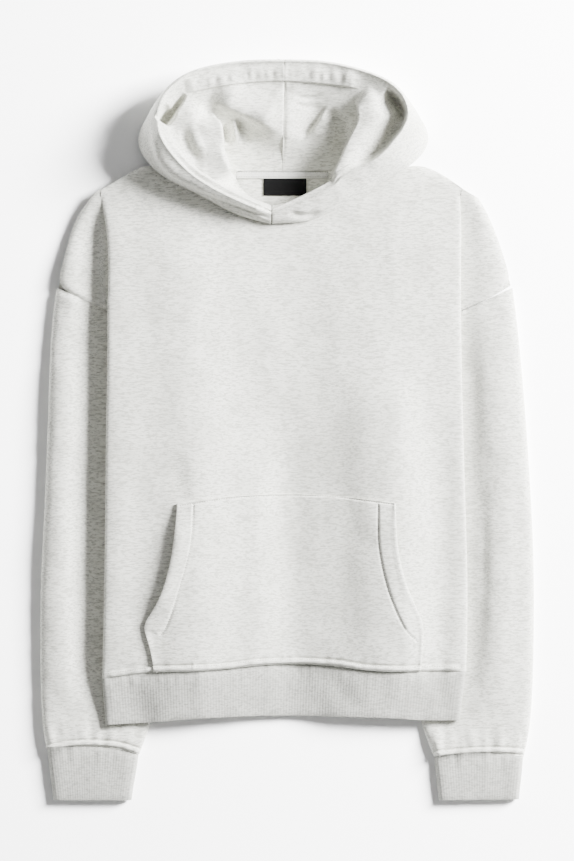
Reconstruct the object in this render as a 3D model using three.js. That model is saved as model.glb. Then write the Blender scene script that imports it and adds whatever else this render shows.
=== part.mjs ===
// Pullover hoodie laid flat on its back, front up, with the sleeves turned down and tucked under
// the sides of the body and the hood open like a bowl. Millimetres, +Z up, +Y towards the hood.
import * as THREE from 'three';

// Cloth thicknesses
const FLEECE = 2.0;
const RIB_KNIT = 2.4;
const TAPE = 1.0;
const LABEL_CLOTH = 0.8;
const SEAM_GAP = 0.3;

// Heights of the middle of the cloth above the table
const ON_TABLE = FLEECE / 2;
const EDGE_HEIGHT = 4.4;
const SLEEVE_EDGE_HEIGHT = 5.6;
const UNDER_BODY = 6.8;
const TUCK_HEIGHT = 11.2;
const BODY_EDGE_HEIGHT = 15.8;

// Rounded edges and folds
const EDGE_ROUND = 14;
const PLEAT_DEPTH = 30;
const FOLD_RUN = 5.5;
const SHOULDER_RUN = 17;
const SEAM_TURN = 24;
const DIP_LENGTH = 30;
const ARMHOLE_SLOPE = 0.453;
const ARMHOLE_AT_FOLD = 146.4;

// Ribs of the hem band and the cuffs
const RIB_PITCH = 3.6;
const RIB_RELIEF = 0.55;

// Outline of each side, from the shoulder down: the outer edge of the sleeve and the body's fold,
// as distances from the centre line
const SIDE_LINES = {
  left: [
    { y: 282, outer: 239, fold: 239 },
    { y: 263, outer: 254, fold: 228.6 },
    { y: 243, outer: 262.5, fold: 221 },
    { y: 221, outer: 268, fold: 217 },
    { y: 198, outer: 274.5, fold: 215.8 },
    { y: 174.5, outer: 279, fold: 216 },
    { y: 146, outer: 284, fold: 217 },
    { y: 84, outer: 288, fold: 217.2 },
    { y: -2, outer: 290.7, fold: 219 },
    { y: -108, outer: 295, fold: 220 },
    { y: -184, outer: 299, fold: 221 },
    { y: -266, outer: 300, fold: 222.6 },
    { y: -301, outer: 299.4, fold: 223.6 },
    { y: -358, outer: 296.5, fold: 219 },
    { y: -390, outer: 293, fold: 219 },
  ],
  right: [
    { y: 284, outer: 234.2, fold: 222 },
    { y: 263, outer: 247, fold: 216.5 },
    { y: 243, outer: 255, fold: 214.2 },
    { y: 221, outer: 263, fold: 213.4 },
    { y: 198, outer: 270, fold: 213 },
    { y: 174.5, outer: 276, fold: 213 },
    { y: 146, outer: 280, fold: 213 },
    { y: 84, outer: 286.5, fold: 213.8 },
    { y: -2, outer: 293.5, fold: 215.8 },
    { y: -108, outer: 300, fold: 219 },
    { y: -184, outer: 302.6, fold: 221 },
    { y: -266, outer: 302, fold: 220.4 },
    { y: -301, outer: 301, fold: 218.5 },
    { y: -358, outer: 297.5, fold: 210.6 },
    { y: -398, outer: 290.5, fold: 210.6 },
  ],
};

// Inner edge of each sleeve, hidden under the body as far as the hem band
const SLEEVE_INNER = [
  { y: 135, inner: 172 },
  { y: 123, inner: 165 },
  { y: 87, inner: 149.5 },
  { y: 38, inner: 141 },
  { y: -23, inner: 138.5 },
  { y: -145, inner: 143.5 },
  { y: -267, inner: 155 },
  { y: -354, inner: 165.5 },
  { y: -398, inner: 180.5 },
];

// Rows of the body from the shoulder (0) to the hem seam (1): how far the side is pleated over the
// sleeve, and how far it is turned under to the side seam
const BODY_ROWS = [
  { down: 0, pleat: 0, turn: 0 },
  { down: 0.004, pleat: 0.02, turn: 0 },
  { down: 0.014, pleat: 0.12, turn: 0 },
  { down: 0.032, pleat: 0.45, turn: 0 },
  { down: 0.067, pleat: 0.85, turn: 0 },
  { down: 0.105, pleat: 1, turn: 0 },
  { down: 0.145, pleat: 1, turn: 0 },
  { down: 0.184, pleat: 1, turn: 0 },
  { down: 0.209, pleat: 1, turn: 0 },
  { down: 0.233, pleat: 1, turn: 0 },
  { down: 0.2485, pleat: 1, turn: 0 },
  { down: 0.289, pleat: 1, turn: 0.3 },
  { down: 0.328, pleat: 1, turn: 0.8 },
  { down: 0.375, pleat: 1, turn: 1 },
  { down: 0.44, pleat: 1, turn: 1 },
  { down: 0.52, pleat: 1, turn: 1 },
  { down: 0.6, pleat: 1, turn: 1 },
  { down: 0.68, pleat: 1, turn: 1 },
  { down: 0.76, pleat: 1, turn: 1 },
  { down: 0.84, pleat: 1, turn: 1 },
  { down: 0.93, pleat: 1, turn: 1 },
  { down: 1, pleat: 1, turn: 1 },
];
const FIRST_TURNED_ROW = 11;
const BODY_COLUMNS = 15;
const BACK_COLUMNS = 12;

// Upper outline of the front: left shoulder, neckline under the hood, right shoulder
const FRONT_TOP = [
  { x: -239, y: 282 },
  { x: -233, y: 291 },
  { x: -221, y: 297.7 },
  { x: -207, y: 306.8 },
  { x: -187, y: 317.4 },
  { x: -169, y: 329 },
  { x: -147, y: 316 },
  { x: -121, y: 302.5 },
  { x: -104, y: 294 },
  { x: -75, y: 277 },
  { x: -46, y: 265 },
  { x: -18, y: 259.5 },
  { x: 12, y: 261 },
  { x: 45, y: 269.5 },
  { x: 74, y: 284 },
  { x: 98, y: 296 },
  { x: 130, y: 314 },
  { x: 158, y: 328.5 },
  { x: 194, y: 311 },
  { x: 217, y: 295.2 },
  { x: 235, y: 284 },
];

// Upper outline of the back: shoulders and the back neck seam
const BACK_TOP = [
  { x: -239, y: 281 },
  { x: -233, y: 289.5 },
  { x: -221, y: 296.4 },
  { x: -207, y: 305.4 },
  { x: -187, y: 316 },
  { x: -169, y: 325 },
  { x: -110, y: 318.5 },
  { x: -60, y: 316.9 },
  { x: 0, y: 316.6 },
  { x: 54, y: 316.9 },
  { x: 110, y: 319 },
  { x: 158, y: 325 },
  { x: 194, y: 309.6 },
  { x: 217, y: 293.8 },
  { x: 235, y: 283 },
];

// Hem seam and the lower edge of the hem band
const HEM_LINES = [
  { x: -224, seam: -302, lower: -358.4 },
  { x: -164, seam: -294.4, lower: -355 },
  { x: -111, seam: -292.8, lower: -350.6 },
  { x: -67, seam: -290, lower: -348.6 },
  { x: -37, seam: -286, lower: -347.5 },
  { x: 15, seam: -284.5, lower: -347.2 },
  { x: 61, seam: -286.8, lower: -348.2 },
  { x: 96, seam: -292, lower: -349 },
  { x: 134, seam: -293.8, lower: -350.4 },
  { x: 164, seam: -293.4, lower: -352.6 },
  { x: 216, seam: -294, lower: -352.8 },
];

// Height of the front above the table, across it from the left fold to the right fold: a soft ridge
// beside each tucked sleeve and a broad valley between them
const FRONT_HEIGHTS = [
  { y: 330, edgeL: 9, nearL: 10.5, ridgeL: 12, centre: 12, ridgeR: 12, nearR: 10.5, edgeR: 9 },
  { y: 282, edgeL: 12, nearL: 14.5, ridgeL: 15.5, centre: 14, ridgeR: 15.5, nearR: 14.5, edgeR: 12 },
  { y: 220, edgeL: 15.6, nearL: 16.2, ridgeL: 16.5, centre: 13, ridgeR: 16.5, nearR: 16.2, edgeR: 15.6 },
  { y: 140, edgeL: 15.8, nearL: 16.4, ridgeL: 17, centre: 11.5, ridgeR: 17.2, nearR: 16, edgeR: 15.8 },
  { y: 0, edgeL: 15.8, nearL: 16.6, ridgeL: 17.8, centre: 10, ridgeR: 18.4, nearR: 15.7, edgeR: 15.8 },
  { y: -150, edgeL: 15.8, nearL: 16.8, ridgeL: 18.2, centre: 9, ridgeR: 19, nearR: 15.4, edgeR: 15.8 },
  { y: -302, edgeL: 15.8, nearL: 16.6, ridgeL: 17.8, centre: 8.6, ridgeR: 18.8, nearR: 15.4, edgeR: 15.8 },
  { y: -360, edgeL: 15.8, nearL: 16.2, ridgeL: 16.8, centre: 8, ridgeR: 17.6, nearR: 15.4, edgeR: 15.8 },
];
const HEIGHT_PLACES = {
  edgeL: 0,
  nearL: 0.11,
  ridgeL: 0.25,
  centre: 0.53,
  ridgeR: 0.735,
  nearR: 0.9,
  edgeR: 1,
};

// Crown of each sleeve above the table
const SLEEVE_CROWN = [
  { y: 290, crown: 10.5 },
  { y: 200, crown: 12.2 },
  { y: 60, crown: 12.8 },
  { y: -150, crown: 12.4 },
  { y: -330, crown: 11.6 },
  { y: -400, crown: 10.8 },
];

// Cuffs: the seam to the sleeve and the lower edge, outer and inner corner of each
const CUFFS = {
  left: {
    seamOuter: { x: -292, y: -386.8 },
    seamInner: { x: -179.4, y: -394.4 },
    endOuter: { x: -282.6, y: -450.4 },
    endInner: { x: -190, y: -450.6 },
  },
  right: {
    seamOuter: { x: 289.6, y: -398.4 },
    seamInner: { x: 181, y: -397.4 },
    endOuter: { x: 283.6, y: -449.4 },
    endInner: { x: 187.6, y: -450.6 },
  },
};
const CUFF_CROWN = 10.4;
const CUFF_SEAM_ARCH = 6;
const CUFF_SEAM_GAP = 0.4;

// Kangaroo pocket: its side outline from the top seam down, and the arch of the top seam
const POCKET_SIDES = [
  { y: -88, left: -132.6, right: 133 },
  { y: -121, left: -134.7, right: 134 },
  { y: -149, left: -138.5, right: 136.4 },
  { y: -170, left: -142.7, right: 141 },
  { y: -201, left: -152, right: 151.6 },
  { y: -220, left: -162.5, right: 160.4 },
  { y: -236, left: -174, right: 167.4 },
  { y: -248, left: -171, right: 167.4 },
  { y: -270, left: -164, right: 166 },
  { y: -294, left: -161, right: 163.6 },
];
const POCKET_TOP_ARCH = 11;
const POCKET_ROWS = [0, 0.03, 0.16, 0.3, 0.42, 0.54, 0.64, 0.715, 0.77, 0.86, 0.95, 1];
const POCKET_COLUMNS = 14;
const POCKET_STANDOFF = 0.6;
const POCKET_GAPE = 2.4;

// Hood, one row for each section from the centre seam at the crown round to the front notch, each
// place as x, y and height. The foot stands on the table or on the front, the rim is the open edge,
// the band is the inner edge of the rim's hem, and the end is the neck seam or the neck's inside.
const HOOD_ROWS = {
  left: [
    { foot: [-2, 436, 1], rim: [-2, 450, 34], band: [-2, 431, 27], end: [-4.8, 317.4, 1] },
    { foot: [-44, 435, 1], rim: [-46, 449.6, 35], band: [-43, 432, 28], end: [-20, 317.4, 1] },
    { foot: [-84, 428, 1], rim: [-89, 443.5, 38], band: [-83, 424, 30], end: [-34, 317.4, 1] },
    { foot: [-121, 415, 1], rim: [-123, 432.5, 43], band: [-116, 414, 33], end: [-46, 317.4, 1.2] },
    { foot: [-154, 399, 1], rim: [-147.5, 410.5, 48], band: [-138, 400, 37], end: [-55, 317.4, 2.4] },
    { foot: [-173, 377, 1], rim: [-157, 382, 52], band: [-148, 379, 44], end: [-60, 317.4, 5] },
    { foot: [-180, 355, 4], rim: [-152, 356.5, 52], band: [-142, 355, 48], end: [-62, 313, 6.2] },
    { foot: [-172, 333, 16], rim: [-138, 335.5, 50], band: [-130, 337, 48], end: [-61, 307, 6] },
    { foot: [-148, 309.5, 19.4], rim: [-117, 313.5, 46], band: [-111, 318, 45], end: [-57, 299, 6] },
    { foot: [-104, 288, 20.2], rim: [-89, 295, 41], band: [-84, 300, 41], end: [-49, 290, 6] },
    { foot: [-61, 264.5, 19.6], rim: [-52.5, 277.5, 35], band: [-49.5, 283, 35], end: [-37, 282, 8] },
    { foot: [-18.4, 253.5, 17.8], rim: [-18.4, 264.5, 30], band: [-18.4, 269, 29], end: [-18.4, 275, 12] },
  ],
  right: [
    { foot: [-1.6, 436, 1], rim: [-1.6, 450, 34], band: [-1.6, 431, 27], end: [-4.4, 317.4, 1] },
    { foot: [41, 434, 1], rim: [42, 449, 35], band: [39, 428, 27], end: [10, 317.4, 1] },
    { foot: [78, 427, 1], rim: [81, 441.5, 38], band: [74, 421, 29], end: [23, 317.4, 1] },
    { foot: [113, 416, 1], rim: [117, 429, 43], band: [107, 412, 32], end: [36, 317.4, 1.2] },
    { foot: [144, 400, 1], rim: [139, 412, 48], band: [128, 400, 37], end: [46, 317.4, 2.4] },
    { foot: [165, 379, 1], rim: [148.5, 388, 53], band: [137, 381, 42], end: [51, 317.4, 5] },
    { foot: [173, 360, 1.4], rim: [144.5, 371, 54], band: [135, 365, 44], end: [53, 312, 6.2] },
    { foot: [169, 343, 9], rim: [131, 352, 52], band: [123, 353, 43], end: [51, 305, 6] },
    { foot: [152, 325, 17.5], rim: [114, 334, 49], band: [107, 337, 41], end: [46, 297, 6] },
    { foot: [121, 306, 19.6], rim: [88.5, 316.5, 44], band: [82, 321, 38], end: [34, 289, 6] },
    { foot: [78, 281, 20.2], rim: [53, 294.5, 39], band: [47.5, 299, 35], end: [19, 282, 7] },
    { foot: [30, 257.5, 19.4], rim: [13, 277, 34], band: [10, 281, 31], end: [1, 277, 9] },
    { foot: [-16.8, 253.5, 17.8], rim: [-16.8, 264.5, 30.5], band: [-16.8, 269, 29], end: [-16.8, 275, 12] },
  ],
};
const HOOD_ROWS_BETWEEN = 2;
const HOOD_INNER_STATIONS = 11;
const RIM_HALF_WIDTH = 2.6;
const RIM_DROP = 3.4;

// Big soft rolls of the hood sides, bulging up inside the bowl: the inner edge where each drops to
// the floor, the outer edge where it parts from the rim, and the height along them
const HOOD_ROLLS = {
  left: {
    inner: [
      { x: -88, y: 414, height: 24 },
      { x: -83, y: 398, height: 34 },
      { x: -81, y: 378, height: 42 },
      { x: -75, y: 356, height: 43 },
      { x: -71, y: 340, height: 42 },
      { x: -68, y: 326, height: 40 },
      { x: -60, y: 311, height: 38 },
      { x: -50, y: 296, height: 36 },
      { x: -36, y: 284, height: 33 },
      { x: -17, y: 274, height: 29 },
    ],
    outer: [
      { x: -104, y: 421 },
      { x: -128, y: 404 },
      { x: -146, y: 382 },
      { x: -165, y: 374 },
    ],
    outerReach: 16,
  },
  right: {
    inner: [
      { x: 62, y: 414, height: 26 },
      { x: 74, y: 398, height: 35 },
      { x: 84, y: 378, height: 40 },
      { x: 75, y: 357, height: 41 },
      { x: 66, y: 340, height: 40 },
      { x: 58, y: 322, height: 38 },
      { x: 52, y: 304, height: 36 },
      { x: 36, y: 291, height: 34 },
      { x: 12, y: 279, height: 31 },
      { x: -17, y: 274, height: 29 },
    ],
    outer: [
      { x: 84, y: 420 },
      { x: 104, y: 416 },
      { x: 124, y: 404 },
      { x: 138, y: 386 },
      { x: 158, y: 376 },
    ],
    outerReach: 14,
  },
};
const ROLL_RUN = 32;

// Neck tape and label on the inside of the back
const NECK_TAPE = { left: -62, right: 52, lower: 308.6, upper: 316.4, height: 3.2 };
const LABEL = { left: -27.6, right: 24.6, lower: 287.6, upper: 308.2, height: 2.9 };

const SIDES = { left: -1, right: 1 };

const lerp = THREE.MathUtils.lerp;
const clamp = THREE.MathUtils.clamp;
const smooth = (t) => THREE.MathUtils.smoothstep(t, 0, 1);

// Quarter-circle rise from 0 at the edge to 1 one radius in
function roundRise(distance, radius) {
  const inward = 1 - clamp(distance / radius, 0, 1);
  return Math.sqrt(1 - inward * inward);
}

// Smooth curve through one column of a table, read at a value of another column
function curveThrough(table, along, name) {
  const rows = [...table].sort((a, b) => a[along] - b[along]);
  const slopeAt = (i) => {
    const before = rows[Math.max(i - 1, 0)];
    const after = rows[Math.min(i + 1, rows.length - 1)];
    return (after[name] - before[name]) / (after[along] - before[along]);
  };
  return (at) => {
    const place = clamp(at, rows[0][along], rows.at(-1)[along]);
    const i = Math.max(rows.findIndex((row) => row[along] >= place), 1);
    const [low, high] = [rows[i - 1], rows[i]];
    const span = high[along] - low[along];
    const t = (place - low[along]) / span;
    const rise = high[name] - low[name];
    const ease = t * t * (3 - 2 * t);
    const bendLow = t * (1 - t) * (1 - t) * slopeAt(i - 1) * span;
    const bendHigh = -t * t * (1 - t) * slopeAt(i) * span;
    return low[name] + rise * ease + bendLow + bendHigh;
  };
}

const sleeveInnerAt = curveThrough(SLEEVE_INNER, 'y', 'inner');
const crownAt = curveThrough(SLEEVE_CROWN, 'y', 'crown');
const frontTopAt = curveThrough(FRONT_TOP, 'x', 'y');
const backTopAt = curveThrough(BACK_TOP, 'x', 'y');
const hemSeamAt = curveThrough(HEM_LINES, 'x', 'seam');
const hemLowerAt = curveThrough(HEM_LINES, 'x', 'lower');
const outerAt = {
  left: curveThrough(SIDE_LINES.left, 'y', 'outer'),
  right: curveThrough(SIDE_LINES.right, 'y', 'outer'),
};
const foldAt = {
  left: curveThrough(SIDE_LINES.left, 'y', 'fold'),
  right: curveThrough(SIDE_LINES.right, 'y', 'fold'),
};
const heightCurves = Object.keys(HEIGHT_PLACES).map((name) => ({
  place: HEIGHT_PLACES[name],
  at: curveThrough(FRONT_HEIGHTS, 'y', name),
}));

// Height of the middle of the front cloth, by place across from fold (0) to fold (1)
function frontHeight(across, y) {
  const row = heightCurves.map((curve) => ({ place: curve.place, height: curve.at(y) }));
  return curveThrough(row, 'place', 'height')(across);
}

// The same height by distance from the centre line
function frontHeightAt(x, y) {
  const left = -foldAt.left(y);
  const right = foldAt.right(y);
  return frontHeight(clamp((x - left) / (right - left), 0, 1), y);
}

// Closed wall round a grid of points in the middle of the cloth. Rows by columns run so that the
// cross product of a row step and a column step points out of the garment.
function wallFromGrid(grid, thickness, { ring = false, relief = () => 0 } = {}) {
  const rows = grid.length;
  const columns = grid[0].length;
  const wrap = (j) => (ring ? (j + columns) % columns : clamp(j, 0, columns - 1));
  const point = (i, j) => grid[clamp(i, 0, rows - 1)][wrap(j)];
  const positions = [];
  const skins = { outer: [], inner: [] };
  for (let i = 0; i < rows; i += 1) {
    for (let j = 0; j < columns; j += 1) {
      const rowStep = point(i + 1, j).clone().sub(point(i - 1, j));
      const columnStep = point(i, j + 1).clone().sub(point(i, j - 1));
      const normal = rowStep.cross(columnStep).normalize();
      const outward = thickness / 2 + relief(i, j);
      skins.outer.push(point(i, j).clone().addScaledVector(normal, outward));
      skins.inner.push(point(i, j).clone().addScaledVector(normal, -thickness / 2));
    }
  }
  const at = (skin, i, j) => skins[skin][i * columns + wrap(j)];
  const addQuad = (a, b, c, d) => {
    for (const corner of [a, b, c, a, c, d]) {
      positions.push(corner.x, corner.y, corner.z);
    }
  };
  const lastColumn = ring ? columns : columns - 1;
  for (let i = 0; i < rows - 1; i += 1) {
    for (let j = 0; j < lastColumn; j += 1) {
      addQuad(at('outer', i, j), at('outer', i + 1, j), at('outer', i + 1, j + 1), at('outer', i, j + 1));
      addQuad(at('inner', i, j), at('inner', i, j + 1), at('inner', i + 1, j + 1), at('inner', i + 1, j));
    }
  }
  for (let j = 0; j < lastColumn; j += 1) {
    const end = rows - 1;
    addQuad(at('outer', 0, j), at('outer', 0, j + 1), at('inner', 0, j + 1), at('inner', 0, j));
    addQuad(at('outer', end, j), at('inner', end, j), at('inner', end, j + 1), at('outer', end, j + 1));
  }
  if (!ring) {
    const end = columns - 1;
    for (let i = 0; i < rows - 1; i += 1) {
      addQuad(at('outer', i, 0), at('inner', i, 0), at('inner', i + 1, 0), at('outer', i + 1, 0));
      addQuad(at('outer', i, end), at('outer', i + 1, end), at('inner', i + 1, end), at('inner', i, end));
    }
  }
  const geometry = new THREE.BufferGeometry();
  geometry.setAttribute('position', new THREE.Float32BufferAttribute(positions, 3));
  geometry.computeVertexNormals();
  return geometry;
}

// Height of the cloth over a sleeve: rounded at the outer edge, dipping where the body presses it
function overSleeve(fromOuter, outsideFold, crown, edgeHeight) {
  const pressed = 1 - smooth((outsideFold + DIP_LENGTH * 0.1) / DIP_LENGTH);
  const full = lerp(crown, UNDER_BODY, pressed);
  return lerp(edgeHeight, full, roundRise(fromOuter, EDGE_ROUND));
}

// Stations of the body's outer fold, from its underside to the top of the front
function outerFold() {
  return [
    { inward: FOLD_RUN, z: TUCK_HEIGHT },
    { inward: 1.2, z: 11.9 },
    { inward: 0, z: 13.5 },
    { inward: 1.2, z: 15.1 },
    { inward: FOLD_RUN, z: BODY_EDGE_HEIGHT },
  ];
}

// Plain rounded shoulder edge, before the pleat begins
function shoulderStations(side, y, count) {
  const width = foldAt[side](y) - outerAt[side](y);
  const height = frontHeight(0.03, y);
  return Array.from({ length: count }, (_, j) => {
    const inward = lerp(width + 0.6, SHOULDER_RUN, j / (count - 1));
    const rise = roundRise(inward - width, EDGE_ROUND);
    return { inward, z: lerp(EDGE_HEIGHT, height, rise) };
  });
}

// Drop shoulder over the sleeve, then the pleat tucked under the body, then the body's outer fold
function pleatStations(side, y) {
  const width = outerAt[side](y) - foldAt[side](y);
  const seam = (ARMHOLE_AT_FOLD - y) / ARMHOLE_SLOPE;
  const runs = [0.6 - width, 3 - width, 10 - width, -width / 2, -8, PLEAT_DEPTH - 5];
  const overArm = runs.map((run, j) => {
    const inward = Math.max(run, seam + j);
    return { inward, z: overSleeve(inward + width, -inward, crownAt(y), EDGE_HEIGHT) };
  });
  const tuck = [
    { inward: PLEAT_DEPTH - 1, z: 7.5 },
    { inward: PLEAT_DEPTH, z: 9.0 },
    { inward: PLEAT_DEPTH - 1, z: 10.5 },
    { inward: PLEAT_DEPTH - 5, z: TUCK_HEIGHT },
  ];
  return [...overArm, ...tuck, ...outerFold()];
}

// Side turned under over the sleeve and down to the side seam on the table
function turnedStations(side, y, turn) {
  const reach = foldAt[side](y) - sleeveInnerAt(y);
  const descent = [
    { near: 7, far: SEAM_TURN, height: ON_TABLE },
    { near: 6, far: 18, height: ON_TABLE },
    { near: 5, far: 14, height: 2.2 },
    { near: 4, far: 10.5, height: 5.6 },
    { near: 3, far: 7, height: 9.6 },
    { near: 1, far: 1, height: 11.0 },
  ].map((step) => ({
    inward: reach + lerp(step.near, step.far, turn),
    z: lerp(TUCK_HEIGHT, step.height, turn),
  }));
  const flat = [0.85, 0.7, 0.5, 0.3].map((part) => ({ inward: reach * part, z: TUCK_HEIGHT }));
  return [...descent, ...flat, ...outerFold()];
}

// One side of the front at one row, from its outer edge or seam to the top of the fold
function flankStations(side, y, row) {
  if (row.turn > 0) {
    return turnedStations(side, y, row.turn);
  }
  const pleated = pleatStations(side, y);
  const plain = shoulderStations(side, y, pleated.length);
  return pleated.map((station, j) => ({
    inward: lerp(plain[j].inward, station.inward, row.pleat),
    z: lerp(plain[j].z, station.z, row.pleat),
  }));
}

// Place along the garment where a row of the body meets its side, from the shoulder to the hem seam
function sideRowY(side, down) {
  const top = SIDE_LINES[side][0].y;
  const hem = hemSeamAt(SIDES[side] * foldAt[side](-298));
  return lerp(top, hem + SEAM_GAP, down);
}

// Places of one flank in the plan, with the slant of the shoulder carried down the rows
function flankPoints(side, row) {
  const sign = SIDES[side];
  const rowY = sideRowY(side, row.down);
  const first = BODY_ROWS[0];
  const topStations = flankStations(side, sideRowY(side, 0), first);
  const topFold = foldAt[side](sideRowY(side, 0));
  return flankStations(side, rowY, row).map((station, j) => {
    const topX = sign * (topFold - topStations[j].inward);
    const slant = row.turn > 0 ? 0 : frontTopAt(topX) - frontTopAt(sign * (topFold - topStations[0].inward));
    const x = sign * (foldAt[side](rowY) - station.inward);
    const seamLift = row.down === 1 ? hemSeamAt(x) + SEAM_GAP - rowY : 0;
    return new THREE.Vector3(x, rowY + slant * (1 - row.down) * (1 - row.turn) + seamLift, station.z);
  });
}

// Front of the body between the two folds
function frontRow(row) {
  const left = flankPoints('left', row);
  const right = flankPoints('right', row).reverse();
  const from = left.at(-1);
  const to = right[0];
  const topLeft = flankPoints('left', BODY_ROWS[0]).at(-1);
  const topRight = flankPoints('right', BODY_ROWS[0]).at(-1);
  const middle = [];
  for (let k = 1; k < BODY_COLUMNS; k += 1) {
    const across = k / BODY_COLUMNS;
    const x = lerp(from.x, to.x, across);
    const topX = lerp(topLeft.x, topRight.x, across);
    const top = frontTopAt(topX);
    const bottom = hemSeamAt(x) + SEAM_GAP;
    const y = row.down === 0 ? top : lerp(top, bottom, row.down);
    const shoulder = smooth((Math.abs(topX + 5) - 152) / 14);
    const rounding = lerp(1, roundRise(top - y, EDGE_ROUND), shoulder);
    const height = frontHeightAt(x, y);
    middle.push(new THREE.Vector3(x, y, lerp(EDGE_HEIGHT, height, rounding)));
  }
  return [...left, ...middle, ...right];
}

function makeFront() {
  return wallFromGrid(BODY_ROWS.map(frontRow), FLEECE);
}

// Half width of the back at one row: shoulder edge, armhole seam, then the side seam
function backHalfWidth(side, y, turned) {
  if (turned) {
    return sleeveInnerAt(y) - SEAM_TURN - SEAM_GAP;
  }
  const seam = foldAt[side](y) - (ARMHOLE_AT_FOLD - y) / ARMHOLE_SLOPE;
  return Math.min(outerAt[side](y) - 1.2, seam);
}

function backRow(row, index) {
  const turned = index >= FIRST_TURNED_ROW;
  const ends = ['left', 'right'].map((side) => {
    const y = sideRowY(side, row.down);
    return new THREE.Vector3(SIDES[side] * backHalfWidth(side, y, turned), y, ON_TABLE);
  });
  const points = [];
  for (let k = 0; k <= BACK_COLUMNS; k += 1) {
    const across = k / BACK_COLUMNS;
    const x = lerp(ends[0].x, ends[1].x, across);
    const topX = lerp(BACK_TOP[0].x, BACK_TOP.at(-1).x, across);
    const atSide = row.down < 1 && (k === 0 || k === BACK_COLUMNS);
    const level = lerp(ends[0].y, ends[1].y, across);
    const top = backTopAt(topX);
    const y = atSide ? level : lerp(top, hemSeamAt(x) + SEAM_GAP, row.down);
    points.push(new THREE.Vector3(x, y, ON_TABLE));
  }
  return points;
}

function makeBack() {
  return wallFromGrid(BODY_ROWS.map(backRow), FLEECE);
}

// Ring of a sleeve at one section, from its outer edge over the top to the inner edge and back
function sleeveRing(width, underFrom, crown, covered, corner) {
  const top = (fromOuter) => {
    const over = overSleeve(fromOuter, underFrom - fromOuter, crown, SLEEVE_EDGE_HEIGHT);
    const open = lerp(SLEEVE_EDGE_HEIGHT, crown, roundRise(fromOuter, EDGE_ROUND));
    const height = lerp(open, over, covered);
    return lerp(height, Math.min(height, corner), smooth((fromOuter - underFrom) / 30));
  };
  const runs = [1.2, 5, 12, underFrom * 0.42, underFrom - 24, underFrom - 8, underFrom + 6, underFrom + 24];
  const over = runs.map((run) => ({ fromOuter: run, z: top(run) }));
  const innerTop = top(width - 6);
  const inner = [
    { fromOuter: width - 7, z: innerTop },
    { fromOuter: width - 1.6, z: lerp(innerTop, 3.8, 0.4) },
    { fromOuter: width, z: 3.8 },
    { fromOuter: width - 1.6, z: 1.9 },
    { fromOuter: width - 6, z: ON_TABLE },
  ];
  const bottom = [0.8, 0.65, 0.5, 0.35, 0.2].map((part) => ({ fromOuter: width * part, z: ON_TABLE }));
  const outer = [
    { fromOuter: 6, z: ON_TABLE },
    { fromOuter: 1.4, z: 2.5 },
    { fromOuter: 0, z: SLEEVE_EDGE_HEIGHT - 0.6 },
  ];
  return [...over, ...inner, ...bottom, ...outer];
}

const SLEEVE_ROWS = [0, 0.04, 0.1, 0.18, 0.28, 0.4, 0.52, 0.64, 0.75, 0.84, 0.9, 0.94, 0.97, 1];

function makeSleeve(side) {
  const sign = SIDES[side];
  const cuff = CUFFS[side];
  const outerTopY = ARMHOLE_AT_FOLD + ARMHOLE_SLOPE * 62;
  const innerTopY = 123;
  const grid = SLEEVE_ROWS.map((down) => {
    const outerY = lerp(outerTopY, cuff.seamOuter.y + CUFF_SEAM_GAP, down) - SEAM_GAP * (1 - down);
    const innerY = lerp(innerTopY, cuff.seamInner.y + CUFF_SEAM_GAP, down) - SEAM_GAP * (1 - down);
    const outerX = down === 1 ? Math.abs(cuff.seamOuter.x) : outerAt[side](outerY);
    const innerX = down === 1 ? Math.abs(cuff.seamInner.x) : sleeveInnerAt(innerY);
    const width = outerX - innerX;
    const midY = (outerY + innerY) / 2;
    const covered = smooth((midY + 385) / 30);
    const underFrom = Math.min(outerX - foldAt[side](midY), width * 0.72);
    const corner = down < 0.05 ? 4.4 : 20;
    const ring = sleeveRing(width, underFrom, crownAt(midY), covered, corner).map((station) => {
      const part = station.fromOuter / width;
      const arch = Math.sin(part * Math.PI) * down ** 6 * CUFF_SEAM_ARCH;
      return new THREE.Vector3(
        sign * (outerX - station.fromOuter),
        lerp(outerY, innerY, part) + arch,
        station.z,
      );
    });
    return side === 'left' ? ring : ring.reverse();
  });
  return wallFromGrid(grid, FLEECE, { ring: true });
}

// Number of stations across a ribbed width: two for each rib, a crest and a valley
function ribCount(width) {
  return 2 * Math.round(width / RIB_PITCH);
}

// Stations across the ribbed top of a tube
function ribStations(from, to, count) {
  return Array.from({ length: count + 1 }, (_, k) => ({ at: lerp(from, to, k / count), crest: k % 2 }));
}

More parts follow.
